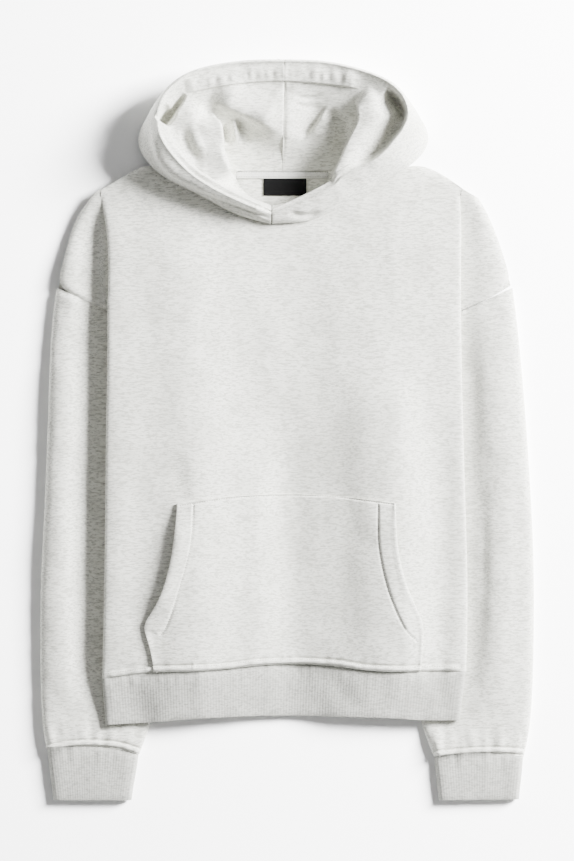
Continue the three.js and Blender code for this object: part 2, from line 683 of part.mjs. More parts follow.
function makeCuff(side) {
  const cuff = CUFFS[side];
  const leftEdge = side === 'left';
  const ribs = ribCount(Math.abs(cuff.seamOuter.x - cuff.seamInner.x));
  const reliefs = [];
  const grid = [0, 0.5, 1].map((down, i) => {
    const outerX = lerp(cuff.seamOuter.x, cuff.endOuter.x, smooth(down));
    const innerX = lerp(cuff.seamInner.x, cuff.endInner.x, smooth(down));
    const outerY = lerp(cuff.seamOuter.y - CUFF_SEAM_GAP, cuff.endOuter.y, down);
    const innerY = lerp(cuff.seamInner.y - CUFF_SEAM_GAP, cuff.endInner.y, down);
    const [fromX, toX] = leftEdge ? [outerX, innerX] : [innerX, outerX];
    const [fromY, toY] = leftEdge ? [outerY, innerY] : [innerY, outerY];
    const width = toX - fromX;
    const crown = lerp(CUFF_CROWN, CUFF_CROWN - 1.6, down);
    const ring = [];
    const add = (run, z, crest = 0) => {
      const part = run / width;
      const arch = Math.sin(part * Math.PI) * (1 - down) * CUFF_SEAM_ARCH;
      ring.push(new THREE.Vector3(fromX + run, lerp(fromY, toY, part) + arch, z));
      if (i === 0) {
        reliefs.push(crest * RIB_RELIEF);
      }
    };
    for (const rib of ribStations(3, width - 3, ribs)) {
      const edge = Math.min(rib.at, width - rib.at);
      add(rib.at, lerp(SLEEVE_EDGE_HEIGHT, crown, roundRise(edge, EDGE_ROUND)), rib.crest);
    }
    add(width, SLEEVE_EDGE_HEIGHT - 0.8);
    add(width - 1.6, 2.5);
    add(width - 6, RIB_KNIT / 2);
    add(width * 0.66, RIB_KNIT / 2);
    add(width * 0.33, RIB_KNIT / 2);
    add(6, RIB_KNIT / 2);
    add(1.6, 2.5);
    add(0, SLEEVE_EDGE_HEIGHT - 0.8);
    return ring;
  });
  return wallFromGrid(grid, RIB_KNIT, { ring: true, relief: (i, j) => reliefs[j] });
}

// Hem band: a ribbed tube that carries on the body's section below the hem seam
function makeHemBand() {
  const ribs = ribCount(HEM_LINES.at(-1).x - HEM_LINES[0].x);
  const reliefs = [];
  const grid = [0, 0.5, 1].map((down, i) => {
    const ring = [];
    const place = (x, z, crest = 0) => {
      const y = lerp(hemSeamAt(x) - SEAM_GAP, hemLowerAt(x), down);
      ring.push(new THREE.Vector3(x, y, z));
      if (i === 0) {
        reliefs.push(crest * RIB_RELIEF);
      }
    };
    const level = lerp(-300, -356, down);
    const tighten = lerp(0, 0.5, down);
    const lift = (RIB_KNIT - FLEECE) / 2;
    const flank = (side) => turnedStations(side, level, 1).map((station) => ({
      x: SIDES[side] * (foldAt[side](level) - station.inward),
      z: station.z + (station.z < 1.5 ? lift : 0),
    }));
    const left = flank('left');
    const right = flank('right').reverse();
    left.forEach((station) => place(station.x, station.z));
    for (const rib of ribStations(left.at(-1).x + 2, right[0].x - 2, ribs)) {
      place(rib.at, frontHeightAt(rib.at, level) - tighten, rib.crest);
    }
    right.forEach((station) => place(station.x, station.z));
    for (let k = 1; k < BACK_COLUMNS; k += 1) {
      place(lerp(right.at(-1).x, left[0].x, k / BACK_COLUMNS), RIB_KNIT / 2);
    }
    return ring;
  });
  return wallFromGrid(grid, RIB_KNIT, { ring: true, relief: (i, j) => reliefs[j] });
}

// Kangaroo pocket: a patch laid on the front, sewn at the top, the lower sides and the hem seam,
// with its two slanted edges standing a little open for the hands
function makePocket() {
  const leftAt = curveThrough(POCKET_SIDES, 'y', 'left');
  const rightAt = curveThrough(POCKET_SIDES, 'y', 'right');
  const grid = POCKET_ROWS.map((down) => {
    const level = lerp(POCKET_SIDES[0].y, POCKET_SIDES.at(-1).y, down);
    const from = leftAt(level);
    const to = rightAt(level);
    const points = [];
    for (let k = 0; k <= POCKET_COLUMNS; k += 1) {
      const across = lerp(k / POCKET_COLUMNS, smooth(k / POCKET_COLUMNS), 0.35);
      const x = lerp(from, to, across);
      const arch = POCKET_TOP_ARCH * Math.sin(across * Math.PI) * (1 - down);
      const y = down === 1 ? hemSeamAt(x) + SEAM_GAP : level + arch;
      const openEdge = smooth(down / 0.12) * smooth((0.8 - down) / 0.12);
      const nearSide = Math.max(1 - across / 0.2, 1 - (1 - across) / 0.2, 0);
      const body = smooth(down / 0.1) * smooth((1 - down) / 0.1);
      const stand = POCKET_STANDOFF + POCKET_GAPE * openEdge * smooth(nearSide) + 0.7 * body * (1 - nearSide);
      points.push(new THREE.Vector3(x, y, frontHeightAt(x, y) + FLEECE + stand));
    }
    return points;
  });
  return wallFromGrid(grid, FLEECE);
}

// Distance from a place in the plan to a path, with the value of a column at the nearest place and
// the side of the path it lies on
function nearestOnPath(x, y, path, name) {
  let best = { distance: Infinity, value: 0, side: 1 };
  for (let i = 0; i < path.length - 1; i += 1) {
    const [a, b] = [path[i], path[i + 1]];
    const run = { x: b.x - a.x, y: b.y - a.y };
    const length2 = run.x * run.x + run.y * run.y;
    const t = clamp(((x - a.x) * run.x + (y - a.y) * run.y) / length2, 0, 1);
    const off = { x: x - lerp(a.x, b.x, t), y: y - lerp(a.y, b.y, t) };
    const distance = Math.hypot(off.x, off.y);
    if (distance < best.distance) {
      const side = Math.sign(run.x * off.y - run.y * off.x);
      best = { distance, value: name ? lerp(a[name], b[name], t) : 0, side };
    }
  }
  return best;
}

// Height of the hood's roll at a place in the plan, zero outside it
function rollHeight(side, x, y) {
  const roll = HOOD_ROLLS[side];
  const towardsRim = side === 'left' ? -1 : 1;
  const inner = nearestOnPath(x, y, roll.inner, 'height');
  const outer = nearestOnPath(x, y, roll.outer);
  const fromInner = inner.side === towardsRim ? inner.distance : 0;
  const fromOuter = outer.side === -towardsRim ? outer.distance : 0;
  const clearOfRim = roundRise(fromOuter, roll.outerReach);
  return inner.value * smooth(fromInner / ROLL_RUN) * clearOfRim;
}

// One section of the hood half, from the foot over the rim and down into the bowl
function hoodSection(side, row) {
  const foot = new THREE.Vector3(row.footX, row.footY, row.footZ);
  const rim = new THREE.Vector3(row.rimX, row.rimY, row.rimZ);
  const band = new THREE.Vector3(row.bandX, row.bandY, row.bandZ);
  const end = new THREE.Vector3(row.endX, row.endY, row.endZ);
  const across = band.clone().sub(rim).setZ(0).normalize();
  const flank = [0.3, 0.62].map((part) => {
    const point = foot.clone().lerp(rim, part);
    const bulge = Math.sin(part * Math.PI) * 4;
    return point.addScaledVector(across, -bulge);
  });
  const rimOutside = rim.clone().addScaledVector(across, -RIM_HALF_WIDTH).setZ(row.rimZ - RIM_DROP);
  const rimInside = rim.clone().addScaledVector(across, RIM_HALF_WIDTH).setZ(row.rimZ - RIM_DROP);
  const inside = [];
  for (let k = 1; k <= HOOD_INNER_STATIONS; k += 1) {
    const part = k / HOOD_INNER_STATIONS;
    const point = band.clone().lerp(end, part);
    const bowl = lerp(row.endZ, row.bandZ, (1 - part) ** 1.9);
    const roll = rollHeight(side, point.x, point.y) * smooth((1 - part) / 0.12);
    inside.push(point.setZ(Math.max(bowl, roll)));
  }
  return [foot, ...flank, rimOutside, rim, rimInside, band, ...inside];
}

// One row of points as a row of plain numbers, with its place in the table
function flatRow(row, place) {
  const flat = { place };
  for (const [name, [x, y, z]] of Object.entries(row)) {
    flat[`${name}X`] = x;
    flat[`${name}Y`] = y;
    flat[`${name}Z`] = z;
  }
  return flat;
}

// Hood half between the centre seam and the front notch, with rows added between the sections
function makeHoodHalf(side) {
  const table = HOOD_ROWS[side].map(flatRow);
  const names = Object.keys(table[0]).filter((name) => name !== 'place');
  const curves = names.map((name) => [name, curveThrough(table, 'place', name)]);
  const count = (table.length - 1) * HOOD_ROWS_BETWEEN;
  const grid = [];
  for (let i = 0; i <= count; i += 1) {
    const place = i / HOOD_ROWS_BETWEEN;
    const row = Object.fromEntries(curves.map(([name, at]) => [name, at(place)]));
    grid.push(hoodSection(side, row));
  }
  if (side === 'right') {
    grid.reverse();
  }
  return wallFromGrid(grid, FLEECE);
}

// Flat strip between four edges, lying at one height
function makeStrip(strip, thickness, columns) {
  const grid = [strip.upper, strip.lower].map((y) => {
    const points = [];
    for (let k = 0; k <= columns; k += 1) {
      points.push(new THREE.Vector3(lerp(strip.left, strip.right, k / columns), y, strip.height));
    }
    return points;
  });
  return wallFromGrid(grid, thickness);
}

const FLEECE_LOOK = { color: 0xdfe0dc, roughness: 0.95, metalness: 0 };
const RIB_LOOK = { color: 0xd2d2cd, roughness: 0.95, metalness: 0 };
const TAPE_LOOK = { color: 0xd8d8d3, roughness: 0.9, metalness: 0 };
const LABEL_LOOK = { color: 0x17181a, roughness: 0.55, metalness: 0 };

const pieces = [
  ['back', makeBack(), FLEECE_LOOK],
  ['front', makeFront(), FLEECE_LOOK],
  ['sleeve_left', makeSleeve('left'), FLEECE_LOOK],
  ['sleeve_right', makeSleeve('right'), FLEECE_LOOK],
  ['cuff_left', makeCuff('left'), RIB_LOOK],
  ['cuff_right', makeCuff('right'), RIB_LOOK],
  ['hem_band', makeHemBand(), RIB_LOOK],
  ['pocket', makePocket(), FLEECE_LOOK],
  ['hood_left', makeHoodHalf('left'), FLEECE_LOOK],
  ['hood_right', makeHoodHalf('right'), FLEECE_LOOK],
  ['neck_tape', makeStrip(NECK_TAPE, TAPE, 6), TAPE_LOOK],
  ['neck_label', makeStrip(LABEL, LABEL_CLOTH, 3), LABEL_LOOK],
];

// The garment, moved so that the origin is under the middle of its box
const group = new THREE.Group();
for (const [name, geometry, look] of pieces) {
  const mesh = new THREE.Mesh(geometry, new THREE.MeshStandardMaterial(look));
  mesh.name = name;
  group.add(mesh);
}
const box = new THREE.Box3().setFromObject(group);
group.position.set(-(box.min.x + box.max.x) / 2, -(box.min.y + box.max.y) / 2, -box.min.z);
group.updateMatrixWorld(true);

export default group;
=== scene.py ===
"""Pullover hoodie laid flat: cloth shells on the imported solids, their folds, stitching and finishes."""

import functools
import logging
import math
from dataclasses import dataclass, field
from enum import Enum

import bmesh
import bpy
import numpy as np
from mathutils import Matrix, Vector, noise
from mathutils.bvhtree import BVHTree


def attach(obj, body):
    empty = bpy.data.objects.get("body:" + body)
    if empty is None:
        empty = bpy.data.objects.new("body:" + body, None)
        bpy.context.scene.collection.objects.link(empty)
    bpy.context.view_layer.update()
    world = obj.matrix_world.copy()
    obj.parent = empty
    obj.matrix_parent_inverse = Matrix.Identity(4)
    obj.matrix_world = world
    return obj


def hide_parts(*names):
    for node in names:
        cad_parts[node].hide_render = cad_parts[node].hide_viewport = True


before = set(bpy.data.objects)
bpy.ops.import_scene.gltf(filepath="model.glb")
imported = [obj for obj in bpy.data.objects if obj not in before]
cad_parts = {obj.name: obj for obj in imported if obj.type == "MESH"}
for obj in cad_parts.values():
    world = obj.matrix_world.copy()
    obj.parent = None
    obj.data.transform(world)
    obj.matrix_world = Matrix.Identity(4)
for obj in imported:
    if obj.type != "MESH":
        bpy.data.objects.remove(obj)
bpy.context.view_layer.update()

MM = 0.001

# Places seen from above, in millimetres
Path = tuple[tuple[float, float], ...]

# Forms: how the triangles may be joined back into a grid, and the sharp edges that are kept or rounded
JOIN_INFLUENCES = (1.0, 1.5, 2.0)
WELD = 0.01 * MM
RIM_ANGLE = math.radians(72)
EDGE_ANGLE = math.radians(62)
RIM_ROUND = 0.8 * MM
SEAM_REACH = 0.3 * MM
RIB_SOFTENING = 18

# Finer faces within these distances of a seam, in millimetres, on the faces that look up
FINE_REACHES = (14.0, 7.0)
UPWARD = 0.2

# Folds: the longest step along their lines, how many widths a flank reaches, the least room to fall,
# and how often the border between shown and hidden cloth is evened out
PATH_STEP = 6.0
FLANK_REACH = 2.6
LEAST_ROOM = 0.01
BORDER_ROUNDS = 3

# Stitches, in millimetres
STITCH_LENGTH = 2.2
STITCH_PITCH = 3.0
STITCH_STEP = 1.0
STITCH_RISE = 0.12
THREAD_RADIUS = 0.34

# Shader nodes: the wave texture repeats over this length at a scale of 1, and the colour sockets of a mix
WAVE_PERIOD = 0.314
MIX_SHARE = 0
MIX_UNDER = 6
MIX_OVER = 7
MIX_COLOUR = 2

# Camera, in metres: a long lens straight above, so that the garment is seen without perspective
PICTURE_HEIGHT = 1.0504
CAMERA_HEIGHT = 8.0
FOCUS_HEIGHT = 0.012
AIM = (-0.0002, -0.0009)
SENSOR_MM = 36.0

log = logging.getLogger("hoodie")


class Slot(Enum):
    """Material slots of the record."""

    FLEECE = "fleece"
    RIB_KNIT = "rib_knit"
    NECK_TAPE = "neck_tape"
    LABEL = "label"


class Side(Enum):
    """Sides of the garment as the viewer sees them."""

    LEFT = "left"
    RIGHT = "right"


def linear(colour: str) -> tuple[float, float, float, float]:
    """Linear colour of an sRGB hex colour.

    Args:
        colour: Six hex digits after a hash sign.

    Returns:
        Red, green, blue and alpha for a shader socket.
    """
    parts = [int(colour[i : i + 2], 16) / 255 for i in (1, 3, 5)]
    turned = [c / 12.92 if c <= 0.04045 else ((c + 0.055) / 1.055) ** 2.4 for c in parts]
    return (*turned, 1.0)


def add_node(
    tree: bpy.types.NodeTree,
    kind: str,
    settings: dict | None = None,
    values: dict | None = None,
    links: dict | None = None,
) -> bpy.types.Node:
    """Adds one shader node.

    Args:
        tree: Node tree that gets the node.
        kind: Blender's name of the node type.
        settings: Properties of the node.
        values: Input socket values by socket name or number.
        links: Output sockets to link, by input socket name or number.

    Returns:
        The new node.
    """
    node = tree.nodes.new(kind)
    for name, value in (settings or {}).items():
        setattr(node, name, value)
    for name, value in (values or {}).items():
        node.inputs[name].default_value = value
    for name, socket in (links or {}).items():
        tree.links.new(socket, node.inputs[name])
    return node


def new_tree(name: str) -> tuple[bpy.types.Material, bpy.types.NodeTree]:
    """Makes a material with an empty node tree.

    Args:
        name: Name of the material.

    Returns:
        The material and its tree.
    """
    material = bpy.data.materials.new(name)
    material.use_nodes = True
    material.node_tree.nodes.clear()
    return material, material.node_tree


@dataclass(frozen=True)
class Specks:
    """Specks of another shade, drawn out along X: their length and height, and how much they cover."""

    size_mm: tuple[float, float]
    span: tuple[float, float] = (0.46, 0.6)
    cover: float = 0.8
    detail: float = 3.0
    roughness: float = 0.62
    distortion: float = 0.35

    def share(self, tree: bpy.types.NodeTree, place: bpy.types.NodeSocket) -> bpy.types.NodeSocket:
        """Share of the other shade at each place.

        Args:
            tree: Node tree of the material.
            place: Object coordinates.

        Returns:
            The share, from 0 to the specks' cover.
        """
        length, height = self.size_mm
        scale = (1000 / length, 1000 / height, 1000 / height)
        mapping = add_node(tree, "ShaderNodeMapping", values={"Scale": scale}, links={"Vector": place})
        specks = add_node(
            tree,
            "ShaderNodeTexNoise",
            values={
                "Scale": 1.0,
                "Detail": self.detail,
                "Roughness": self.roughness,
                "Distortion": self.distortion,
            },
            links={"Vector": mapping.outputs["Vector"]},
        )
        low, high = self.span
        covered = add_node(
            tree,
            "ShaderNodeMapRange",
            settings={"interpolation_type": "SMOOTHSTEP"},
            values={"From Min": low, "From Max": high, "To Max": self.cover},
            links={"Value": specks.outputs["Fac"]},
        )
        return covered.outputs["Result"]


@dataclass(frozen=True)
class Melange:
    """Melange knit: pale yarn with greyer fibres drawn out along the knitted rows.

    The specks are drawn coarser than the real fibres, which are too fine to show in the picture.
    """

    name: str
    pale: str
    grey: str
    dark: str
    clouds: Specks = Specks((38.46, 38.46), (0.35, 0.75), 0.3, detail=2.0, roughness=0.5, distortion=0.0)
    flecks: Specks = Specks((9.0, 1.9))
    fibres: Specks = Specks((4.5, 1.3), (0.53, 0.68), 0.6)
    wale_mm: float = 1.1
    wale_height: float = 0.35
    fuzz_mm: float = 0.7692
    relief_mm: float = 0.12

    def colour(self, tree: bpy.types.NodeTree, place: bpy.types.NodeSocket) -> bpy.types.NodeSocket:
        """Lays clouds, flecks and dark fibres over the pale yarn.

        Args:
            tree: Node tree of the material.
            place: Object coordinates.

        Returns:
            The colour of the cloth.
        """
        colour = None
        for specks, shade in ((self.clouds, self.grey), (self.flecks, self.grey), (self.fibres, self.dark)):
            mix = add_node(
                tree,
                "ShaderNodeMix",
                settings={"data_type": "RGBA"},
                values={MIX_UNDER: linear(self.pale), MIX_OVER: linear(shade)},
                links={MIX_SHARE: specks.share(tree, place)},
            )
            if colour is not None:
                tree.links.new(colour, mix.inputs[MIX_UNDER])
            colour = mix.outputs[MIX_COLOUR]
        return colour

    def relief(self, tree: bpy.types.NodeTree, place: bpy.types.NodeSocket) -> bpy.types.NodeSocket:
        """Raises the wales of the knit and the fuzz of the yarn.

        Args:
            tree: Node tree of the material.
            place: Object coordinates.

        Returns:
            The bumped normal.
        """
        in_mm = add_node(
            tree, "ShaderNodeMapping", values={"Scale": (1000, 1000, 1000)}, links={"Vector": place}
        ).outputs["Vector"]
        wales = add_node(
            tree,
            "ShaderNodeTexWave",
            values={
                "Scale": WAVE_PERIOD / self.wale_mm,
                "Distortion": 1.6,
                "Detail": 2.0,
                "Detail Scale": 1.4,
            },
            links={"Vector": in_mm},
        )
        fuzz = add_node(
            tree,
            "ShaderNodeTexNoise",
            values={"Scale": 1 / self.fuzz_mm, "Detail": 4.0},
            links={"Vector": in_mm},
        )
        height = add_node(
            tree,
            "ShaderNodeMath",
            settings={"operation": "MULTIPLY_ADD"},
            values={1: self.wale_height},
            links={0: wales.outputs["Fac"], 2: fuzz.outputs["Fac"]},
        )
        bump = add_node(
            tree,
            "ShaderNodeBump",
            values={"Strength": 0.8, "Distance": self.relief_mm * MM},
            links={"Height": height.outputs["Value"]},
        )
        return bump.outputs["Normal"]

    def build(self) -> bpy.types.Material:
        """Builds the material: a matt cloth with a faint sheen of fibre ends.

        Returns:
            The material.
        """
        material, tree = new_tree(self.name)
        place = add_node(tree, "ShaderNodeTexCoord").outputs["Object"]
        shader = add_node(
            tree,
            "ShaderNodeBsdfPrincipled",
            values={
                "Roughness": 0.95,
                "Specular IOR Level": 0.15,
                "Sheen Weight": 0.25,
                "Sheen Roughness": 0.6,
            },
            links={"Base Color": self.colour(tree, place), "Normal": self.relief(tree, place)},
        )
        add_node(tree, "ShaderNodeOutputMaterial", links={"Surface": shader.outputs["BSDF"]})
        return material


@dataclass(frozen=True)
class Plain:
    """Finish of one colour, with the relief of a fine weave where it has one."""

    name: str
    colour: str
    roughness: float = 0.9
    specular: float = 0.3
    weave_mm: float = 0.0
    relief_mm: float = 0.0

    def build(self) -> bpy.types.Material:
        """Builds the material.

        Returns:
            The material.
        """
        material, tree = new_tree(self.name)
        links = {}
        if self.weave_mm:
            place = add_node(tree, "ShaderNodeTexCoord").outputs["Object"]
            in_mm = add_node(
                tree, "ShaderNodeMapping", values={"Scale": (1000, 1000, 1000)}, links={"Vector": place}
            )
            rows = add_node(
                tree,
                "ShaderNodeTexWave",
                settings={"bands_direction": "Y"},
                values={"Scale": WAVE_PERIOD / self.weave_mm, "Distortion": 0.8, "Detail": 1.0},
                links={"Vector": in_mm.outputs["Vector"]},
            )
            bump = add_node(
                tree,
                "ShaderNodeBump",
                values={"Strength": 0.6, "Distance": self.relief_mm * MM},
                links={"Height": rows.outputs["Fac"]},
            )
            links["Normal"] = bump.outputs["Normal"]
        shader = add_node(
            tree,
            "ShaderNodeBsdfPrincipled",
            values={
                "Base Color": linear(self.colour),
                "Roughness": self.roughness,
                "Specular IOR Level": self.specular,
            },
            links=links,
        )
        add_node(tree, "ShaderNodeOutputMaterial", links={"Surface": shader.outputs["BSDF"]})
        return material


# Brushed-back sweatshirt fleece: soft, pale and flecked
FLEECE = Melange("sweatshirt_fleece", pale="#ebebe2", grey="#b9b9b0", dark="#96968e")
# Rib knit: the same yarn, with the shade of its furrows painted in as a greyer colour all over, since the
# ribs themselves are evened out almost flat
RIB = Melange(
    "melange_rib_painted_shade", pale="#bcbcb5", grey="#969690", dark="#7a7a74", flecks=Specks((6.0, 1.7), cover=0.7)
)
# Jersey tape: plain and pale, so that the seam under it reads as a band
TAPE = Melange("jersey_tape", pale="#e6e6e1", grey="#d0d0ca", dark="#bab9b4", flecks=Specks((3.0, 1.0)))
# Woven satin: near black with a soft gloss
SATIN = Plain("woven_satin", "#070708", roughness=0.6, specular=0.12, weave_mm=0.4, relief_mm=0.04)
# Sewing thread: a little smoother than the cloth, and darkened with the painted shade of the needle holes,
# so that the stitches read as fine dark dots
THREAD = Plain("sewing_thread_painted_shade", "#80807a", roughness=0.7, specular=0.3)
# Studio floor: white and matt, so that it only takes the soft shadow
FLOOR = Plain("studio_floor", "#fbfbfb", roughness=1.0, specular=0.0)


@functools.cache
def finished(finish: Melange | Plain) -> bpy.types.Material:
    """The finish's material, built once."""
    return finish.build()


def placed(name: str, form: bmesh.types.BMesh) -> bpy.types.Object:
    """Makes an object at the origin from a form, which is freed.

    Args:
        name: Name of the object and of its mesh.
        form: What the object is to be.

    Returns:
        The object, linked to the scene.
    """
    mesh = bpy.data.meshes.new(name)
    form.to_mesh(mesh)
    form.free()
    made = bpy.data.objects.new(name, mesh)
    bpy.context.scene.collection.objects.link(made)
    return made


def smoothstep(value: np.ndarray) -> np.ndarray:
    """Smooth rise from 0 to 1."""
    t = np.clip(value, 0, 1)
    return t * t * (3 - 2 * t)


def rounded_path(path: Path, step: float = PATH_STEP) -> np.ndarray:
    """Draws a smooth line through a few places.

    Args:
        path: Places in the plan, in millimetres.
        step: Greatest distance between the new places.

    Returns:
        The line's places, one row each.
    """
    knots = np.array(path, float)
    if len(knots) < 3:
        return knots
    padded = np.vstack([2 * knots[0] - knots[1], knots, 2 * knots[-1] - knots[-2]])
    places = []
    for a, b, c, d in zip(padded, padded[1:], padded[2:], padded[3:]):
        count = max(int(np.hypot(*(c - b)) / step), 1)
        for t in np.arange(count) / count:
            bend = (c - a) * t + (2 * a - 5 * b + 4 * c - d) * t**2 + (3 * b - a - 3 * c + d) * t**3
            places.append(b + bend / 2)
    return np.array([*places, knots[-1]])


def along_path(plan: np.ndarray, path: np.ndarray) -> tuple[np.ndarray, np.ndarray]:
    """Measures places in the plan from a line.

    Args:
        plan: Places in millimetres, one row each.
        path: Places of the line.

    Returns:
        Distance to the line, above zero on its left, and the share of the line's length.
    """
    nearest = np.full(len(plan), np.inf)
    signed = np.zeros(len(plan))
    share = np.zeros(len(plan))
    steps = np.diff(path, axis=0)
    lengths = np.hypot(steps[:, 0], steps[:, 1])
    total = lengths.sum()
    done = 0.0
    for start, run, length in zip(path, steps, lengths):
        t = np.clip(((plan - start) @ run) / length**2, 0, 1)
        off = plan - (start + t[:, None] * run)
        distance = np.hypot(off[:, 0], off[:, 1])
        closer = distance < nearest
        turn = np.where(run[0] * off[:, 1] - run[1] * off[:, 0] < 0, -1.0, 1.0)
        nearest = np.where(closer, distance, nearest)
        signed = np.where(closer, distance * turn, signed)
        share = np.where(closer, (done + t * length) / total, share)
        done += length
    return signed, share


def close_to(places: np.ndarray, line: np.ndarray, reach: float) -> np.ndarray:
    """Tells which places lie in a line's box, grown by its reach.

    Args:
        places: Places in millimetres, one row each.
        line: Places of the line.
        reach: How far the box goes beyond the line.

    Returns:
        True for each place in the box.
    """
    low = line.min(axis=0) - reach
    high = line.max(axis=0) + reach
    return np.all((places[:, :2] > low) & (places[:, :2] < high), axis=1)


@dataclass(frozen=True)
class Fold:
    """Soft ridge, or trough where height is below zero, along a line seen from above.

    Sizes are in millimetres. A power above 2 makes the top flatter and the sides steeper, and
    the start fades in over a share of its own where one is given.
    """

    path: Path
    height: float
    left: float
    right: float
    fade: float = 0.25
    power: float = 2.0
    start: float | None = None

    def lift(self, places: np.ndarray) -> np.ndarray:
        """Height that the fold adds at each place.

        Args:
            places: Places in millimetres, one row each.

        Returns:
            One height for each place.
        """
        line = rounded_path(self.path)
        near = close_to(places, line, FLANK_REACH * max(self.left, self.right))
        signed, share = along_path(places[near, :2], line)
        flank = np.where(signed > 0, self.left, self.right)
        profile = np.exp(-(np.abs(signed / flank) ** self.power))
        ends = smoothstep(share / (self.start or self.fade)) * smoothstep((1 - share) / self.fade)
        lift = np.zeros(len(places))
        lift[near] = self.height * profile * ends
        return lift


@dataclass(frozen=True)
class Puckers:
    """Small gathers that cross a seam, as thread draws the cloth in. Millimetres."""

    path: Path
    height: float
    left: float
    right: float
    length: float

    def lift(self, places: np.ndarray) -> np.ndarray:
        """Height that the gathers add at each place.

        Args:
            places: Places in millimetres, one row each.

        Returns:
            One height for each place.
        """
        line = rounded_path(self.path)
        near = close_to(places, line, FLANK_REACH * max(self.left, self.right))
        signed, share = along_path(places[near, :2], line)
        total = np.hypot(*np.diff(line, axis=0).T).sum() / self.length
        waves = np.array([noise.noise(Vector((x, self.length, 0.0))) for x in share * total])
        flank = np.where(signed > 0, self.left, self.right)
        lift = np.zeros(len(places))
        lift[near] = self.height * waves * np.exp(-((signed / flank) ** 2))
        return lift


@dataclass(frozen=True)
class Inside:
    """Folds that stop at an edge: they lie on the left of its line alone. Millimetres."""

    edge: Path
    reach: float
    folds: "Folds"

    def lift(self, places: np.ndarray) -> np.ndarray:
        """Height that the folds add at each place."""
        signed, _ = along_path(places[:, :2], rounded_path(self.edge))
        return sum(fold.lift(places) for fold in self.folds) * smoothstep(signed / self.reach)


@dataclass(frozen=True)
class Roll:
    """Cloth rolled over along a line: whatever is lower comes up to one height. Millimetres."""

    path: Path
    top: float
    left: float
    right: float
    fade: float = 0.15
    power: float = 8.0

    def lift(self, places: np.ndarray) -> np.ndarray:
        """Height that the roll adds at each place."""
        share = Fold(self.path, 1.0, self.left, self.right, self.fade, self.power).lift(places)
        return share * np.maximum(self.top - places[:, 2], 0)


@dataclass(frozen=True)
class Lean:
    """Upper cloth drawn sideways along a line, so that a roll hangs over the hollow beside it.

    Millimetres: the cloth at low stays where it is, and the cloth at high moves by the whole shift.
    """

    path: Path
    shift: tuple[float, float]
    left: float
    right: float
    low: float = 12.0
    high: float = 38.0
    fade: float = 0.2

    def shifts(self, places: np.ndarray) -> np.ndarray:
        """Sideways move of each place.

        Args:
            places: Places in millimetres, one row each.

        Returns:
            One move for each place.
        """
        share = Fold(self.path, 1.0, self.left, self.right, self.fade, power=4).lift(places)
        share = share * smoothstep((places[:, 2] - self.low) / (self.high - self.low))
        return np.outer(share, (*self.shift, 0))


@dataclass(frozen=True)
class Waves:
    """Uneven lie of the cloth, in millimetres, drawn out along Y by stretch."""

    height: float
    size: float
    stretch: float = 1.0

    def lift(self, places: np.ndarray) -> np.ndarray:
        """Height that the waves add at each place."""
        scaled = places[:, :2] / (self.size, self.size * self.stretch)
        return np.array([noise.noise(Vector((x, y, self.size))) for x, y in scaled]) * self.height


Folds = tuple[Fold | Puckers | Inside | Roll | Waves, ...]


